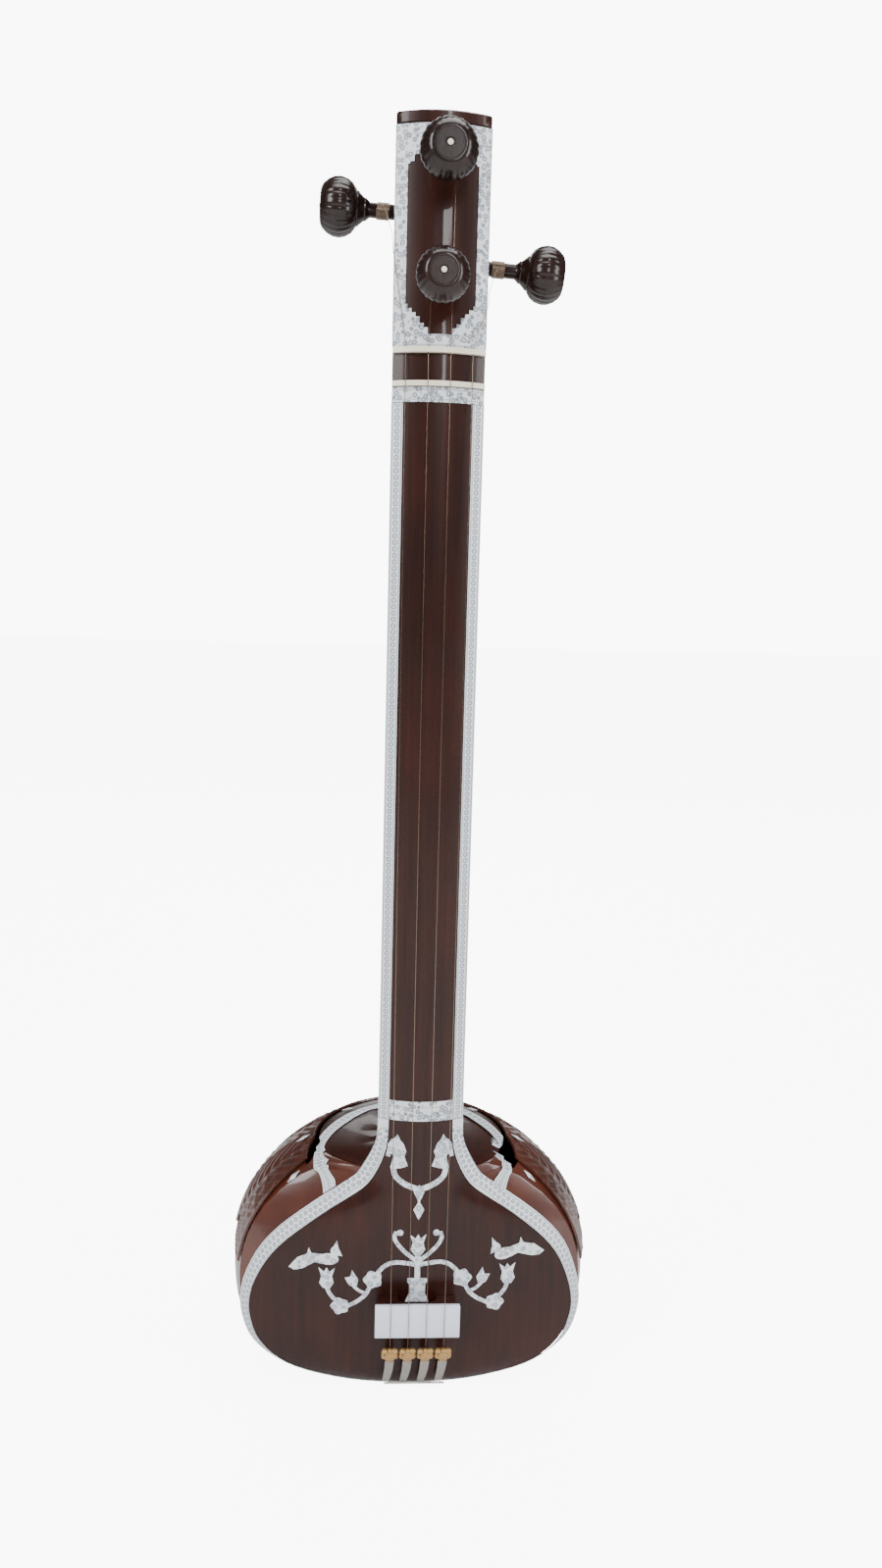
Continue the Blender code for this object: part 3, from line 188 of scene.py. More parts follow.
def ring_pattern(pitch_mm, rows_mm, ring_mm, border_mm):
    """An engraved band that follows the strip's UV, in mm: rings pitch_mm apart in rows at rows_mm from the
    middle, each with a dot, and a dotted line at border_mm. It is 1 in a cut line and 0 elsewhere."""
    line_fade, ring_fade, dot_fade = 1.0, 0.8, 0.9       # how far each fades out from its middle, in mm

    def make(tree):
        split = add(tree, "SeparateXYZ", add(tree, "UVMap", uv_map="strip"))
        along, across = split, split.node.outputs[1]
        side = add(tree, "Math", across, operation="ABSOLUTE")
        near = add(tree, "Math", add(tree, "Math", side, border_mm, operation="SUBTRACT"), operation="ABSOLUTE")
        line = add(tree, "Math", near, -1 / line_fade, 1.0, operation="MULTIPLY_ADD", use_clamp=True)
        dots = add(tree, "Math", add(tree, "Math", along, 0.9, operation="PINGPONG"), 0.75, 0.3,
                   operation="MULTIPLY_ADD")
        total = add(tree, "Math", line, dots, operation="MULTIPLY")
        for i, row in enumerate(rows_mm):
            shifted = add(tree, "Math", along, pitch_mm / 2 * (i % 2), operation="ADD")
            u = add(tree, "Math", shifted, pitch_mm / 2, operation="PINGPONG")
            v = add(tree, "Math", across, row, operation="SUBTRACT")
            far = add(tree, "VectorMath", add(tree, "CombineXYZ", u, v, 0.0), operation="LENGTH").node.outputs[1]
            off = add(tree, "Math", add(tree, "Math", far, ring_mm, operation="SUBTRACT"), operation="ABSOLUTE")
            ring = add(tree, "Math", off, -1 / ring_fade, 1.0, operation="MULTIPLY_ADD", use_clamp=True)
            total = add(tree, "Math", total, ring, operation="MAXIMUM")
            eye = add(tree, "Math", far, -1 / dot_fade, 1.0, operation="MULTIPLY_ADD", use_clamp=True)
            total = add(tree, "Math", total, eye, operation="MAXIMUM")
        return total
    return make


def curl_pattern(pitch_mm):
    """Engraving of small closed curls, pitch_mm apart."""
    curl, fade = 0.34, 0.24          # the curl's radius and its line's fade, as shares of the pitch

    def make(tree):
        place = add(tree, "TexCoord").node.outputs["Object"]
        far = add(tree, "TexVoronoi", place, None, 1000 / pitch_mm)
        off = add(tree, "Math", add(tree, "Math", far, curl, operation="SUBTRACT"), operation="ABSOLUTE")
        return add(tree, "Math", off, -1 / fade, 1.0, operation="MULTIPLY_ADD", use_clamp=True)
    return make


def either(*patterns):
    """The deepest of several engraved patterns."""
    def make(tree):
        total = patterns[0](tree)
        for pattern in patterns[1:]:
            total = add(tree, "Math", total, pattern(tree), operation="MAXIMUM")
        return total
    return make


def inked(pattern, base, ink, share=1.0):
    """The base colour with ink in the pattern's cut lines."""
    def make(tree):
        amount = add(tree, "Math", pattern(tree), share, operation="MULTIPLY")
        return add(tree, "Mix", amount, None, None, None, None, None, linear(base), linear(ink),
                   data_type="RGBA").node.outputs[2]
    return make


def raised(pattern):
    """The pattern's cut lines as low places."""
    return lambda tree: add(tree, "Math", 1.0, pattern(tree), operation="SUBTRACT")


def fine_pores(tree):
    """Height of the wood's pores: about a millimetre apart and long up the grain."""
    place = add(tree, "TexCoord").node.outputs["Object"]
    stretched = add(tree, "Mapping", place, None, None, (900.0, 900.0, 60.0))
    return add(tree, "TexNoise", stretched, None, 1.0, 3.0, 0.5)


def make_finishes():
    """Every finish, by name."""
    c = colours()
    wood = grain(c.walnut_dark, c.walnut_light, 7.0, 160.0)
    skin = grain(c.walnut_light, c.gourd_red, 45.0, 70.0, 0.4)
    # Rings are 3.4 mm across on the bindings. Their lines fade out 0.8 mm to each side of the middle, which is
    # wider than a real cut line, so that they show
    band = ring_pattern(6.6, (-3.0, 3.0), 1.7, 6.9)
    strip = ring_pattern(6.4, (0.0,), 2.2, 4.9)
    arc = ring_pattern(4.8, (0.0,), 1.4, 3.1)
    scroll = either(curl_pattern(5.2), ring_pattern(7.0, (), 2.4, 4.7))
    curls = curl_pattern(6.5)
    found = [
        # Tun wood, stained and sprayed with polyurethane: dark brown streaks under a soft satin coat
        finish("stained_tun_lacquer", wood, 0.34, coat=0.22, ior=1.32, normal=bump(fine_pores, 0.05, 0.15)),
        # Dried gourd skin, stained redder than the wood under a glossier coat, with broad blotches
        finish("stained_gourd_lacquer", skin, 0.32, coat=0.6),
        # Carved and stained wood: duller in the cuts, where the coat is thin
        finish("carved_tun_lacquer", grain("#1c0e0a", c.gourd_red, 5.0, 30.0), 0.36, coat=0.35,
               normal=bump(fine_pores, 0.08, 0.3)),
        # Turned rosewood, polished on the lathe: nearly black with brown streaks
        finish("turned_rosewood", grain("#0c0605", "#2a1611", 4.0, 25.0), 0.28, coat=0.32, ior=1.35),
        # Celluloid sheet engraved by hand and rubbed with grey ink: white, slightly waxy, cut lines dull
        finish("engraved_celluloid_band", inked(band, c.celluloid, c.engraving), 0.38,
               normal=bump(raised(band), 0.25, 0.6)),
        finish("engraved_celluloid_strip", inked(strip, c.celluloid, c.engraving), 0.38,
               normal=bump(raised(strip), 0.25, 0.6)),
        finish("engraved_celluloid_arc", inked(arc, c.celluloid, c.engraving), 0.38),
        finish("engraved_celluloid_scroll", inked(scroll, c.celluloid, c.engraving, 0.85), 0.38),
        finish("engraved_celluloid_inlay", inked(curls, c.celluloid, c.engraving, 0.6), 0.36),
        # Camel bone, filed and buffed: warm white with a soft gloss
        finish("buffed_bone", c.bone, 0.32, coat=0.2),
        # Acrylic-topped bridge, buffed: cool white and very glossy
        finish("buffed_acrylic", "#d9dcec", 0.16, coat=0.7),
        # Phosphor bronze and steel wire, drawn
        finish("drawn_wire", "#8d7b6b", 0.30, metallic=1.0),
        # Cast brass with a satin gilt wash
        finish("gilt_brass", c.brass, 0.40, metallic=0.65),
        # Dull pressed white metal
        finish("pressed_white_metal", c.tail, 0.45, metallic=0.35),
        # Black enamel, for the beads' eyes
        finish("black_enamel", "#17110f", 0.4),
        # Matt white paper sweep
        finish("studio_paper", "#dcdcdc", 0.9),
    ]
    return {material.name: material for material in found}


FINISHES = {}


def use(obj, name):
    """Gives an object one finish."""
    if not FINISHES:
        FINISHES.update(make_finishes())
    obj.data.materials.clear()
    obj.data.materials.append(FINISHES[name])
    return obj


# ---------------------------------------------------------------- modelling helpers

def deselect():
    if bpy.context.mode != "OBJECT":
        bpy.ops.object.mode_set(mode="OBJECT")
    bpy.ops.object.select_all(action="DESELECT")


def only(obj):
    deselect()
    obj.hide_set(False)
    obj.select_set(True)
    bpy.context.view_layer.objects.active = obj
    return obj


def shade(obj, degrees=35):
    only(obj)
    bpy.ops.object.shade_smooth_by_angle(angle=math.radians(degrees))
    return obj


def place_piece(obj, body, material, slot, *nodes):
    """Gives a piece its finish and body, and hides the fixed nodes that it stands for. Its slot is not used."""
    use(obj, material)
    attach(obj, body)
    if nodes:
        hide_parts(*nodes)
    return obj


def merged_copy(node, name):
    """A copy of a fixed node whose loose triangles are joined, ready to be shaded smooth and shaped."""
    source = frame["nodes"][node]
    obj = source.copy()
    obj.data = source.data.copy()
    obj.name = name
    obj.parent = None
    for key in list(obj.keys()):
        del obj[key]
    bpy.context.scene.collection.objects.link(obj)
    obj.hide_render = False
    only(obj)
    bpy.ops.object.mode_set(mode="EDIT")
    bpy.ops.mesh.select_all(action="SELECT")
    bpy.ops.mesh.remove_doubles(threshold=0.00002)
    bpy.ops.mesh.customdata_custom_splitnormals_clear()
    bpy.ops.object.mode_set(mode="OBJECT")
    return obj


def refine(obj, cuts):
    """Subdivides every face of a mesh without changing its shape."""
    only(obj)
    bpy.ops.object.mode_set(mode="EDIT")
    bpy.ops.mesh.select_all(action="SELECT")
    bpy.ops.mesh.subdivide(number_cuts=cuts)
    bpy.ops.object.mode_set(mode="OBJECT")
    return obj


def fresh_grid(name, across, along):
    """A flat grid one unit square about the origin, ready for its points to be placed."""
    deselect()
    bpy.ops.mesh.primitive_grid_add(x_subdivisions=across, y_subdivisions=along, size=1.0)
    obj = bpy.context.view_layer.objects.active
    obj.name = name
    return obj


def thicken(obj, thickness, outward):
    """Turns an open surface to face outward and gives it a thickness on that side."""
    middle = obj.data.polygons[len(obj.data.polygons) // 2]
    if middle.normal.dot(Vector(outward)) < 0:
        obj.data.flip_normals()
    only(obj)
    wall = obj.modifiers.new("Thickness", "SOLIDIFY")
    wall.thickness = thickness
    wall.offset = 1.0
    bpy.ops.object.modifier_apply(modifier=wall.name)
    return obj


def drawn_out(name, rings, steps):
    """A closed turned piece about Z: a disc drawn out ring by ring, each ring (radius, height)."""
    deselect()
    bpy.ops.mesh.primitive_circle_add(vertices=steps, radius=rings[0][0], fill_type="NGON",
                                      location=(0, 0, rings[0][1]))
    obj = bpy.context.view_layer.objects.active
    obj.name = name
    bpy.ops.object.mode_set(mode="EDIT")
    bpy.ops.mesh.select_all(action="SELECT")
    for (radius, height), (next_radius, next_height) in zip(rings, rings[1:]):
        bpy.ops.mesh.extrude_region_move(TRANSFORM_OT_translate={"value": (0, 0, next_height - height)})
        share = next_radius / radius
        bpy.ops.transform.resize(value=(share, share, 1), center_override=(0, 0, next_height))
    bpy.ops.mesh.select_all(action="SELECT")
    bpy.ops.mesh.normals_make_consistent(inside=False)
    bpy.ops.object.mode_set(mode="OBJECT")
    bpy.ops.object.transform_apply(location=True, rotation=False, scale=False)
    return obj


def body_skins(*nodes):
    """The fixed nodes' surfaces, for rays to meet."""
    meshes = [frame["nodes"][node].data for node in nodes]
    return [BVHTree.FromPolygons([v.co for v in mesh.vertices], [f.vertices for f in mesh.polygons])
            for mesh in meshes]


def on_body(skins, sign, height, degrees, lift):
    """The outermost point of the skins at a height and an angle from the front, lifted off the surface. Where
    no ray meets a skin, the nearest point is taken."""
    turn = math.radians(degrees)
    out = Vector((sign * math.sin(turn), -math.cos(turn), 0.0))
    start = Vector((GOURD_X, 0.0, height)) + out * RAY_START
    # A second ray, a little lower, is for gaps between one skin and the next
    hits = [skin.ray_cast(start - Vector((0, 0, drop)), -out) for drop in (0.0, 0.5 * MM) for skin in skins]
    hits = [hit for hit in hits if hit[0]] or [skin.find_nearest(start - out * RAY_BACK) for skin in skins]
    place, normal = min(hits, key=lambda hit: hit[3])[:2]
    return place + normal * lift


def smooth_line(points, share):
    """A place on the Catmull-Rom curve through points, at a share of the way along."""
    ends = [2 * points[0] - points[1], *points, 2 * points[-1] - points[-2]]
    where = min(share * (len(points) - 1), len(points) - 1 - 1e-6)
    i = int(where)
    t = where - i
    a, b, c, d = ends[i:i + 4]
    return 0.5 * (2 * b + (c - a) * t + (2 * a - 5 * b + 4 * c - d) * t * t + (3 * b - a - 3 * c + d) * t ** 3)


def strip_uv(obj, line):
    """Gives a strip its UV in mm: distance along a line of points, and signed distance from it."""
    layer = obj.data.uv_layers.new(name="strip")
    points = [Vector(p) for p in line]
    starts, total = [], 0.0
    for a, b in zip(points, points[1:]):
        starts.append(total)
        total += (b - a).length
    found = {}
    for vertex in obj.data.vertices:
        best = None
        for (a, b), start in zip(zip(points, points[1:]), starts):
            way = b - a
            t = max(0.0, min(1.0, (vertex.co - a).dot(way) / way.length_squared))
            gap = vertex.co - (a + way * t)
            if best is None or gap.length < best[0]:
                turn = way.x * gap.z - way.z * gap.x
                best = (gap.length, start + way.length * t, math.copysign(gap.length, turn))
        found[vertex.index] = (best[1] / MM, best[2] / MM)
    for loop in obj.data.loops:
        layer.data[loop.index].uv = found[loop.vertex_index]


def middle_line(obj, count, key):
    """Points down the middle of a strip, from its own vertices sorted by key and averaged in groups."""
    ordered = sorted((v.co.copy() for v in obj.data.vertices), key=key)
    size = max(1, len(ordered) // count)
    groups = [ordered[i:i + size] for i in range(0, len(ordered) - size + 1, size)]
    return [sum(g, Vector()) / len(g) for g in groups]


# ---------------------------------------------------------------- operators

class Maker(bpy.types.Operator):
    bl_options = {"REGISTER", "UNDO"}


class TANPURA_OT_body(Maker):
    """Finishes the gourd, soundboard, collar and neck in lacquer"""
    bl_idname = "tanpura.body"
    bl_label = "Body and neck"

    def execute(self, context):
        for node, material, slot in (
                ("gourd_shell", "stained_gourd_lacquer", "gourd_brown"),
                ("soundboard", "stained_tun_lacquer", "walnut"), ("neck_collar", "stained_tun_lacquer", "walnut"),
                ("neck_trough", "stained_tun_lacquer", "walnut"), ("neck_face", "stained_tun_lacquer", "walnut"),
                ("nut_gap_face", "stained_tun_lacquer", "walnut"),
                ("peghead_face", "stained_tun_lacquer", "walnut"), ("head_cap", "stained_tun_lacquer", "walnut"),
                ("bridge_base", "stained_tun_lacquer", "walnut")):
            piece = shade(merged_copy(node, "lacquered_" + node))
            place_piece(piece, BODY, material, slot, node)
        return {"FINISHED"}


class TANPURA_OT_carving(Maker):
    """Carves the veined leaves on both shoulders"""
    bl_idname = "tanpura.carving"
    bl_label = "Carved leaves"

    def execute(self, context):
        first_rib, between_ribs = 71.0, 27.1             # degrees round the gourd from its front
        veins_per_metre, sweep = 110, 2.2                # and how many veins a leaf's edge lags its rib by
        for side, sign in (("left", -1), ("right", 1)):
            node = f"leaf_carving_{side}"
            piece = refine(merged_copy(node, "carved_leaves_" + side), 8)
            normals = [v.normal.copy() for v in piece.data.vertices]
            for vertex, normal in zip(piece.data.vertices, normals):
                p = vertex.co
                outward = Vector((p.x - GOURD_X, p.y, 0.10)).normalized()
                if normal.dot(outward) < 0.5:
                    continue
                angle = math.degrees(math.atan2(sign * (p.x - GOURD_X), -p.y))
                share = ((angle - first_rib) / between_ribs + 0.5) % 1.0 - 0.5
                spread = abs(share) * 2
                veins = 0.5 - 0.5 * math.cos(2 * math.pi * (p.z * veins_per_metre + spread * sweep))
                valley = max(0.0, spread - 0.82) / 0.18
                rib = max(0.0, 1 - spread / 0.07)
                depth = sizes().leaf_relief * max(0.0, min(1.0, 0.62 * veins + 0.9 * valley - 0.8 * rib))
                vertex.co = p - normal * depth
            shade(piece, 50)
            place_piece(piece, BODY, "carved_tun_lacquer", "walnut", node)
        return {"FINISHED"}


class TANPURA_OT_bindings(Maker):
    """Lays the engraved celluloid bindings, bands, inlays and lozenges"""
    bl_idname = "tanpura.bindings"
    bl_label = "Engraved trim"

    def execute(self, context):
        for side in ("left", "right"):
            for node, material, count, key in (
                    (f"neck_binding_{side}", "engraved_celluloid_strip", 2, lambda p: p.z),
                    (f"soundboard_binding_{side}", "engraved_celluloid_band", 22,
                     lambda p: math.atan2(abs(p.x - GOURD_X / 2), p.z - 0.13))):
                piece = merged_copy(node, "engraved_" + node)
                strip_uv(piece, middle_line(piece, count, key))
                shade(piece, 40)
                place_piece(piece, BODY, material, "celluloid", node)
            self.shoulder_arc(side)
            self.lozenges(side)
        for node in ("nut_band", "joint_band"):
            piece = merged_copy(node, "engraved_" + node)
            low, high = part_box(node)
            middle_z = (low.z + high.z) / 2
            layer = piece.data.uv_layers.new(name="strip")
            for loop in piece.data.loops:
                co = piece.data.vertices[loop.vertex_index].co
                layer.data[loop.index].uv = (co.x / MM, (co.z - middle_z) / MM)
            shade(piece, 40)
            place_piece(piece, BODY, "engraved_celluloid_scroll", "celluloid", node)
        plain = ["horse_inlay", "vase_inlay"]
        plain += [f"{kind}_inlay_{side}" for kind in ("vine", "bird") for side in ("left", "right")]
        for node in plain:
            use(frame["nodes"][node], "engraved_celluloid_inlay")
        return {"FINISHED"}

    def lozenges(self, side):
        """Three pointed diamonds, about 18 mm long and 8 mm wide, laid on the shoulder by the curved binding."""
        sign = -1 if side == "left" else 1
        skins = body_skins("gourd_shell", "neck_collar", f"leaf_carving_{side}")
        for number, (height, degrees) in enumerate(((0.2755, 125.0), (0.2625, 91.0), (0.2450, 67.0)), 1):
            piece = fresh_grid(f"inlaid_lozenge_{side}_{number}", 8, 8)
            middle = on_body(skins, sign, height, degrees, 0.0)
            out = (on_body(skins, sign, height, degrees, 1.0) - middle).normalized()
            up = (Vector((GOURD_X, 0.0, height + 0.05)) - middle)
            up = (up - out * up.dot(out)).normalized()
            level = out.cross(up)
            for vertex in piece.data.vertices:
                u, v = vertex.co.x, vertex.co.y
                place = middle + up * (u + v) * 9 * MM + level * (v - u) * 3.8 * MM
                found = (skin.find_nearest(place) for skin in skins)
                nearest = min(found, key=lambda hit: (hit[0] - place).length)
                vertex.co = nearest[0] + out * 1.4 * MM
            thicken(piece, 0.6 * MM, (sign, -0.4, 0.8))
            shade(piece, 40)
            place_piece(piece, BODY, "engraved_celluloid_inlay", "celluloid", f"lozenge_{side}_{number}")

    def shoulder_arc(self, side):
        """The curved binding: it leaves the soundboard's binding, bows outwards and ends behind the neck."""
        sign = -1 if side == "left" else 1
        skins = body_skins("gourd_shell", "neck_collar")
        # Its two edges: each point is a height, and degrees round the gourd from its front
        outer = [Vector(p) for p in (
            (0.236, 52.5), (0.242, 54), (0.248, 56), (0.256, 60), (0.262, 70),
            (0.266, 80), (0.272, 92), (0.279, 107), (0.2865, 123), (0.293, 140))]
        inner = [Vector(p) for p in (
            (0.245, 48.5), (0.250, 50), (0.255, 53), (0.261, 57), (0.266, 65),
            (0.271, 75), (0.277, 84), (0.284, 95), (0.2914, 116), (0.298, 134))]
        length_mm, width_mm = 190, 9
        piece = fresh_grid("engraved_shoulder_binding_" + side, 6, 72)
        rows = {}
        for vertex in piece.data.vertices:
            across, along = vertex.co.x + 0.5, vertex.co.y + 0.5
            low, high = smooth_line(outer, along), smooth_line(inner, along)
            rows[vertex.index] = (along * length_mm, (across - 0.5) * width_mm)
            vertex.co = on_body(skins, sign, *low.lerp(high, across), 1.6 * MM)
        layer = piece.data.uv_layers.new(name="strip")
        for loop in piece.data.loops:
            layer.data[loop.index].uv = rows[loop.vertex_index]
        thicken(piece, 0.8 * MM, (sign, -0.4, 0.8))
        shade(piece, 40)
        place_piece(piece, BODY, "engraved_celluloid_arc", "celluloid", f"shoulder_binding_{side}")


class TANPURA_OT_peghead(Maker):
    """Cuts the stepped, engraved frame round the peg head's panel"""
    bl_idname = "tanpura.peghead"
    bl_label = "Peg head frame"

    def execute(self, context):
        low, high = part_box("peghead_frame")
        half, strip, sill, lintel, reach = high.x, 11.5 * MM, 13 * MM, 10 * MM, 30 * MM
        # The opening's stepped corners: past each half width it stops short by a share of the corner's reach
        steps = ((0.0, 0.0), (12 * MM, 0.14), (16 * MM, 0.30), (20 * MM, 0.50), (24 * MM, 0.62),
                 (28 * MM, 0.80), (32 * MM, 0.90))
        piece = fresh_grid("engraved_peghead_frame", 46, round((high.z - low.z) / (2 * MM)))
        for vertex in piece.data.vertices:
            x = vertex.co.x * 2 * half
            z = low.z + (vertex.co.y + 0.5) * (high.z - low.z)
            vertex.co = (x, low.y + HEAD_ARCH * (x / half) ** 2 + 0.8 * MM, z)
        only(piece)
        bpy.ops.object.mode_set(mode="EDIT")
        bpy.ops.mesh.select_mode(type="FACE")
        bpy.ops.mesh.select_all(action="DESELECT")
        bpy.ops.object.mode_set(mode="OBJECT")
        for face in piece.data.polygons:
            x, z = abs(face.center.x), face.center.z
            short = reach * [share for wide, share in steps if x >= wide][-1]
            face.select = x < half - strip and low.z + sill + short < z < high.z - lintel - short
        bpy.ops.object.mode_set(mode="EDIT")
        bpy.ops.mesh.delete(type="FACE")
        bpy.ops.object.mode_set(mode="OBJECT")
        layer = piece.data.uv_layers.new(name="strip")
        for loop in piece.data.loops:
            x, _, z = piece.data.vertices[loop.vertex_index].co
            if abs(x) > half - strip - 0.1 * MM:
                place = (z, abs(x) - half + strip / 2)
            else:
                edge = low.z + sill / 2 if z < (low.z + high.z) / 2 else high.z - lintel / 2
                place = (x, z - edge)
            layer.data[loop.index].uv = (place[0] / MM, place[1] / MM)
        thicken(piece, 0.7 * MM, (0, -1, 0))
        shade(piece, 40)
        place_piece(piece, BODY, "engraved_celluloid_scroll", "celluloid", "peghead_frame")
        return {"FINISHED"}


class TANPURA_OT_fittings(Maker):
    """Finishes the nuts, bridge, tailpiece and strings"""
    bl_idname = "tanpura.fittings"
    bl_label = "Bridge, nuts and strings"

    def execute(self, context):
        for node, material in (("lower_nut", "buffed_bone"), ("upper_nut", "buffed_bone"),
                               ("tailpiece", "buffed_bone"), ("bridge_plate", "buffed_acrylic")):
            piece = shade(merged_copy(node, "buffed_" + node))
            place_piece(piece, BODY, material, "bone", node)
        for i in range(1, 5):
            use(frame["nodes"][f"string_{i}"], "drawn_wire")
        return {"FINISHED"}


def peg_frame(number):
    """Matrix of a peg: its origin on the flat face, and Z outwards along the shaft."""
    joint = next(j for j in frame["joints"] if j["name"] == f"peg_{number}_turn")
    out = Vector(joint["axis"]).normalized()
    matrix = out.to_track_quat("Z", "Y").to_matrix().to_4x4()
    matrix.translation = Vector(joint["pos_m"])
    return matrix


class TANPURA_OT_pegs(Maker):
    """Turns the ribbed pegs, with their dots and windings"""
    bl_idname = "tanpura.pegs"
    bl_label = "Pegs"

    def execute(self, context):
        ribs, depth = sizes().peg_ribs, sizes().rib_depth
        for number in range(1, 5):
            matrix = peg_frame(number)
            inverse = matrix.inverted()
            source = frame["nodes"][f"peg_{number}"]
            local = [inverse @ v.co for v in source.data.vertices]
            size = max(math.hypot(p.x, p.y) for p in local) / (28.0 * MM)
            deep = min(p.z for p in local)
            # Each ring's radius and height in mm, for a bulb of 28 mm radius
            head = [(4.2, -0.9), (4.6, 0.0), (13.2, 0.0), (13.7, -0.5), (14.4, -0.5), (14.9, 0.0),
                    (16.0, 0.0), (17.4, -0.5), (20.5, -2.2), (24.5, -7.0), (27.2, -13.0), (27.8, -19.0),
                    (26.2, -25.5), (22.8, -31.0), (18.0, -34.8), (16.0, -35.6), (16.3, -36.8), (14.8, -38.0),
                    (11.6, -41.5), (10.4, -43.0), (10.8, -44.2), (9.6, -45.4), (8.6, -46.5)]
            rings = [(r * MM * size, a * MM) for r, a in head]
            rings += [(7.0 * MM, -48.5 * MM), (7.0 * MM, -100 * MM), (5.6 * MM, deep)]
            piece = drawn_out(f"ribbed_peg_{number}", rings, ribs * 6)
            for vertex in piece.data.vertices:
                below = (-vertex.co.z / MM - 1.0) / 34
                if 0 < below < 1 and math.hypot(vertex.co.x, vertex.co.y) > 15.5 * MM * size:
                    turn = math.atan2(vertex.co.y, vertex.co.x)
                    groove = abs(math.cos(ribs * turn / 2)) ** 4 * math.sin(math.pi * below) ** 0.6
                    share = 1 - depth * groove / math.hypot(vertex.co.x, vertex.co.y)
                    vertex.co.x *= share
                    vertex.co.y *= share
            piece.data.transform(matrix)
            shade(piece, 40)
            body = f"peg_{number}_body"
            place_piece(piece, body, "turned_rosewood", "peg_wood", f"peg_{number}")
            dot = shade(merged_copy(f"peg_dot_{number}", f"bone_dot_{number}"), 50)
            place_piece(dot, body, "buffed_bone", "bone", f"peg_dot_{number}")
            self.wind(number, matrix, inverse, body)
        return {"FINISHED"}

    def wind(self, number, matrix, inverse, body):
        """Close turns of the string round the shaft."""
        source = frame["nodes"][f"peg_winding_{number}"]
        local = [inverse @ v.co for v in source.data.vertices]
        low, high = min(p.z for p in local), max(p.z for p in local)
        radius = max(math.hypot(p.x, p.y) for p in local) - 0.45 * MM
        pitch = sizes().coil_pitch
        turns = int((high - low - pitch) / pitch)
        curve = bpy.data.curves.new(f"wound_string_{number}", "CURVE")
        curve.dimensions = "3D"
        curve.bevel_depth = 0.42 * MM
        curve.bevel_resolution = 2
        curve.use_fill_caps = True
        spline = curve.splines.new("POLY")
        steps = 28                   # points in each turn
        spline.points.add(turns * steps)
        for k in range(turns * steps + 1):
            turn = 2 * math.pi * k / steps
            place = Vector((radius * math.cos(turn), radius * math.sin(turn), low + pitch * (0.5 + k / steps)))
            spline.points[k].co = (*(matrix @ place), 1.0)
        obj = bpy.data.objects.new(f"wound_string_{number}", curve)
        bpy.context.scene.collection.objects.link(obj)
        only(obj)
        bpy.ops.object.convert(target="MESH")
        obj = bpy.context.view_layer.objects.active
        shade(obj, 60)
        place_piece(obj, body, "drawn_wire", "string_steel", f"peg_winding_{number}")


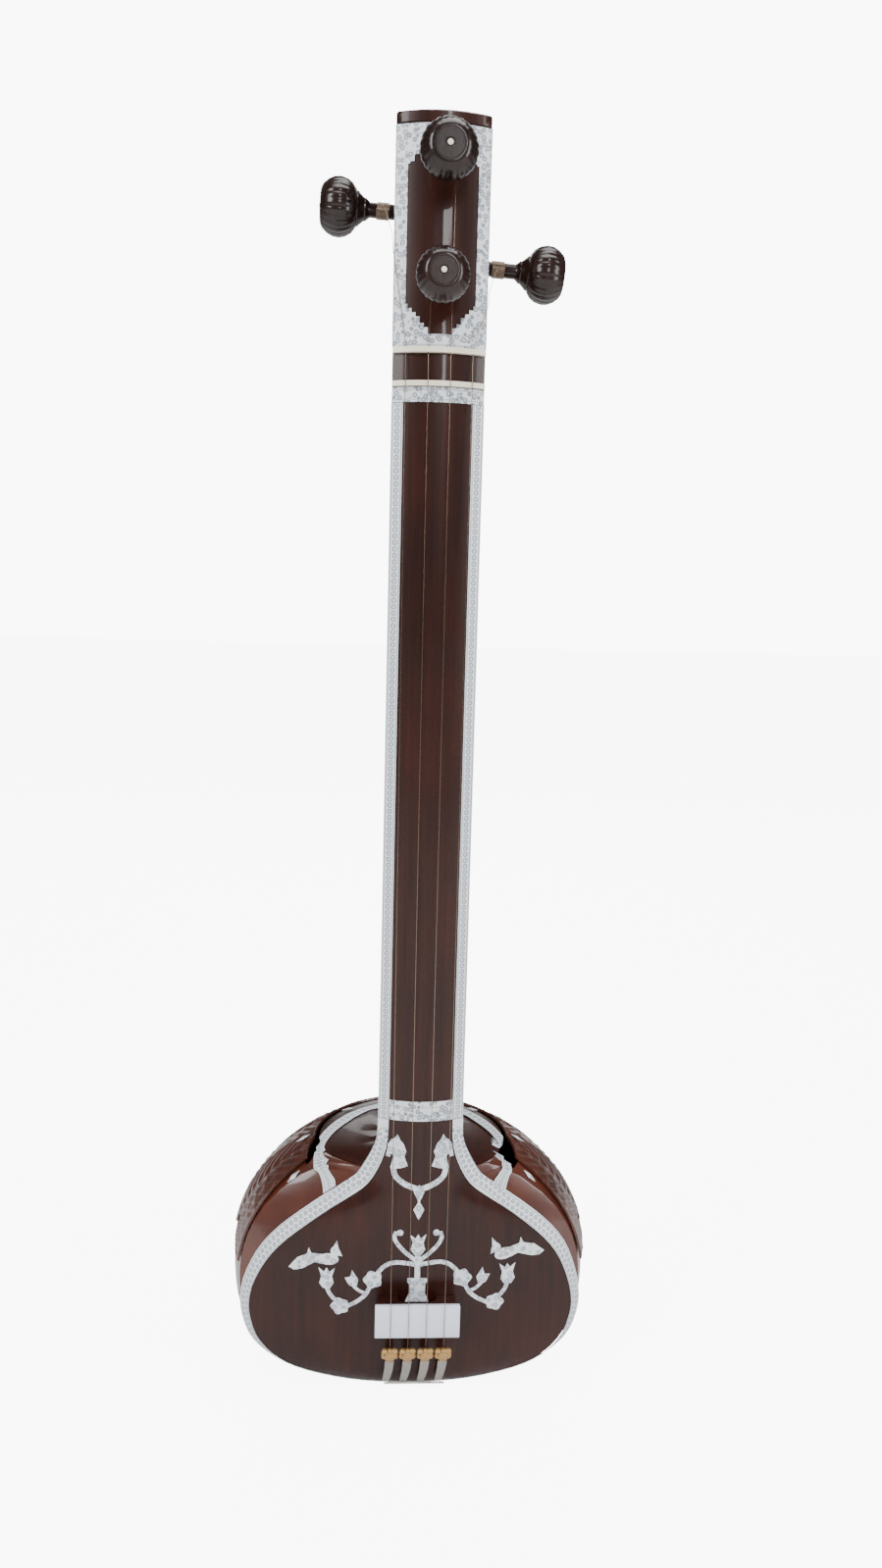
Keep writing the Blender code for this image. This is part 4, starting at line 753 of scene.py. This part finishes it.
class TANPURA_OT_tuners(Maker):
    """Shapes the bird-like tuning beads and their fluted tails"""
    bl_idname = "tanpura.tuners"
    bl_label = "Fine tuners"

    def execute(self, context):
        for number in range(1, 5):
            body = f"tuner_{number}_body"
            self.bead(number, body)
            self.tail(number, body)
        return {"FINISHED"}

    def bead(self, number, body):
        """A squat bird: a round breast with folded wings and a fanned tail, its head to one side."""
        joint = next(j for j in frame["joints"] if j["name"] == f"tuner_{number}_slide")
        up = Vector(joint["axis"]).normalized()
        low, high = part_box(f"tuner_bead_{number}")
        side = Vector((1, 0, 0))
        front = side.cross(up).normalized()
        if front.y > 0:
            front.negate()
        matrix = Matrix((side, front, up)).transposed().to_4x4()
        matrix.translation = (low + high) / 2
        # Each lump: its place and half sizes, in mm, across, forwards and up
        lumps = [((0, 0.4, -0.6), (8.8, 5.6, 8.8)), ((-5.6, 1.6, 6.6), (3.8, 3.8, 4.0)),
                 ((5.2, 1.2, 7.0), (4.2, 3.4, 3.4)), ((0.2, 1.8, 8.6), (2.9, 2.8, 2.6)),
                 ((-6.2, 1.0, -1.0), (3.4, 3.8, 5.6)), ((6.2, 1.0, -1.0), (3.4, 3.8, 5.6)),
                 ((-3.0, 3.2, -0.6), (3.2, 3.4, 5.0)), ((3.0, 3.2, -0.6), (3.2, 3.4, 5.0)),
                 ((0, 1.4, -8.2), (4.6, 3.6, 2.6))]
        deselect()
        made = []
        for place, half in lumps:
            bpy.ops.mesh.primitive_uv_sphere_add(segments=24, ring_count=14, radius=MM, scale=half,
                                                 location=[a * MM for a in place])
            made.append(bpy.context.view_layer.objects.active)
        for lump in made:
            lump.select_set(True)
        bpy.context.view_layer.objects.active = made[0]
        bpy.ops.object.join()
        bpy.ops.object.transform_apply(location=True, rotation=True, scale=True)
        piece = bpy.context.view_layer.objects.active
        piece.name = f"bird_bead_{number}"
        piece.data.transform(matrix)
        shade(piece, 60)
        place_piece(piece, body, "gilt_brass", "gilt", f"tuner_bead_{number}")
        deselect()
        bpy.ops.mesh.primitive_uv_sphere_add(segments=16, ring_count=10, radius=0.9 * MM)
        eye = bpy.context.view_layer.objects.active
        eye.name = f"bird_eye_{number}"
        eye.data.transform(Matrix.Translation(matrix @ Vector((-5.6 * MM, 5.2 * MM, 7.0 * MM))))
        shade(eye, 60)
        place_piece(eye, body, "black_enamel", "peg_wood")

    def tail(self, number, body):
        """The tail as a strip with ridges down its length."""
        node = f"tuner_tail_{number}"
        piece = refine(merged_copy(node, f"fluted_tail_{number}"), 5)
        low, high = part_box(node)
        flutes = sizes().flutes
        for vertex in piece.data.vertices:
            p = vertex.co
            if vertex.normal.y > -0.3:
                continue
            down = (high.z - p.z) / max(1e-6, high.z - low.z)
            middle = (low.x + high.x) / 2 + (1.3 - 3.6 * down * down) * MM
            across = (p.x - middle) / ((5.0 - 1.4 * down) * MM)
            vertex.co.y += 0.8 * MM * (0.5 - 0.5 * math.cos(2 * math.pi * flutes * (across + 1) / 2))
        shade(piece, 60)
        place_piece(piece, body, "pressed_white_metal", "tail_grey", node)


class TANPURA_OT_stage(Maker):
    """Sets the pale floor, the soft studio light and the camera"""
    bl_idname = "tanpura.stage"
    bl_label = "Stage"

    def execute(self, context):
        deselect()
        bpy.ops.mesh.primitive_plane_add(size=sizes().floor_size, location=(0, 0, 0))
        floor = bpy.context.view_layer.objects.active
        floor.name = "studio_floor"
        use(floor, "studio_paper")
        tree = floor.data.materials[0].node_tree
        shader = tree.nodes["Principled BSDF"]
        shader.inputs["Emission Color"].default_value = (1.0, 1.0, 1.0, 1.0)
        glow = add(tree, "Math", add(tree, "LightPath"), 8.0, operation="MULTIPLY")
        tree.links.new(glow, shader.inputs["Emission Strength"])
        for name, where, size, power, target in (
                ("key", (-2.6, -2.4, 2.6), (1.2, 2.2), 110, (0, 0, 0.6)),
                ("fill", (2.8, -2.0, 1.6), (1.0, 2.4), 70, (0, 0, 0.6)),
                ("streak", (0.45, -3.0, 2.3), (0.22, 1.5), 26, (0, 0, 0.9)),
                ("top", (0.2, -0.2, 3.4), (2.4, 1.6), 70, (0, 0, 0.4)),
                ("back", (0.0, 3.0, 2.2), (2.6, 1.8), 60, (0, 0, 0.7))):
            data = bpy.data.lights.new(name, "AREA")
            data.shape = "RECTANGLE"
            data.size, data.size_y = size
            data.energy = power
            lamp = bpy.data.objects.new(name, data)
            bpy.context.scene.collection.objects.link(lamp)
            lamp.location = where
            lamp.rotation_euler = (Vector(target) - Vector(where)).to_track_quat("-Z", "Y").to_euler()
        self.world()
        self.camera()
        return {"FINISHED"}

    def world(self):
        world = bpy.data.worlds.new("studio")
        bpy.context.scene.world = world
        world.use_nodes = True
        tree = world.node_tree
        tree.nodes.clear()
        path = add(tree, "LightPath").node
        white = (1.0, 1.0, 1.0, 1.0)
        seen, lit, mirrored = (add(tree, "Background", white, strength) for strength in (9.5, 0.75, 0.12))
        room = add(tree, "MixShader", path.outputs["Is Glossy Ray"], lit, mirrored)
        add(tree, "OutputWorld", add(tree, "MixShader", path.outputs["Is Camera Ray"], room, seen))

    def camera(self):
        """At chest height, in front and a little to the left, looking slightly down and to the right."""
        down, right_turn, roll = (math.radians(a) for a in (8.93, 3.36, 1.48))
        ahead = Vector((math.sin(right_turn) * math.cos(down), math.cos(right_turn) * math.cos(down),
                        -math.sin(down)))
        level = Vector((math.cos(right_turn), -math.sin(right_turn), 0.0))
        upright = level.cross(ahead)
        right = math.cos(roll) * level + math.sin(roll) * upright
        up = -math.sin(roll) * level + math.cos(roll) * upright
        data = bpy.data.cameras.new("studio_camera")
        data.sensor_width, data.lens = 36.0, 27.45       # millimetres
        data.clip_start, data.clip_end = 0.01, 200.0
        camera = bpy.data.objects.new("studio_camera", data)
        bpy.context.scene.collection.objects.link(camera)
        matrix = Matrix((right, up, -ahead)).transposed().to_4x4()
        matrix.translation = Vector((-0.0594, -1.3143, 0.8904))
        camera.matrix_world = matrix
        bpy.context.scene.camera = camera


class TANPURA_PT_panel(bpy.types.Panel):
    """Sizes, colours and the steps of the build"""
    bl_label = "Tanpura"
    bl_idname = "TANPURA_PT_panel"
    bl_space_type = "VIEW_3D"
    bl_region_type = "UI"
    bl_category = "Tanpura"

    def draw(self, context):
        for group in (context.scene.tanpura_sizes, context.scene.tanpura_colours):
            box = self.layout.box()
            for name in group.__annotations__:
                box.prop(group, name)
        for maker in MAKERS:
            self.layout.operator(maker.bl_idname)


MAKERS = (TANPURA_OT_stage, TANPURA_OT_body, TANPURA_OT_carving, TANPURA_OT_bindings, TANPURA_OT_peghead,
          TANPURA_OT_fittings, TANPURA_OT_pegs, TANPURA_OT_tuners)
CLASSES = (TanpuraSizes, TanpuraColours, *MAKERS, TANPURA_PT_panel)


def register():
    for cls in CLASSES:
        bpy.utils.register_class(cls)
    bpy.types.Scene.tanpura_sizes = PointerProperty(type=TanpuraSizes)
    bpy.types.Scene.tanpura_colours = PointerProperty(type=TanpuraColours)


def unregister():
    del bpy.types.Scene.tanpura_colours
    del bpy.types.Scene.tanpura_sizes
    for cls in reversed(CLASSES):
        bpy.utils.unregister_class(cls)


def main():
    register()
    for obj in [o for o in bpy.context.scene.objects if "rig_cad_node" not in o and not o.name.startswith("body:")]:
        bpy.data.objects.remove(obj)
    deselect()
    bpy.ops.tanpura.stage()
    bpy.ops.tanpura.body()
    bpy.ops.tanpura.carving()
    bpy.ops.tanpura.bindings()
    bpy.ops.tanpura.peghead()
    bpy.ops.tanpura.fittings()
    bpy.ops.tanpura.pegs()
    bpy.ops.tanpura.tuners()


if __name__ == "__main__":
    main()
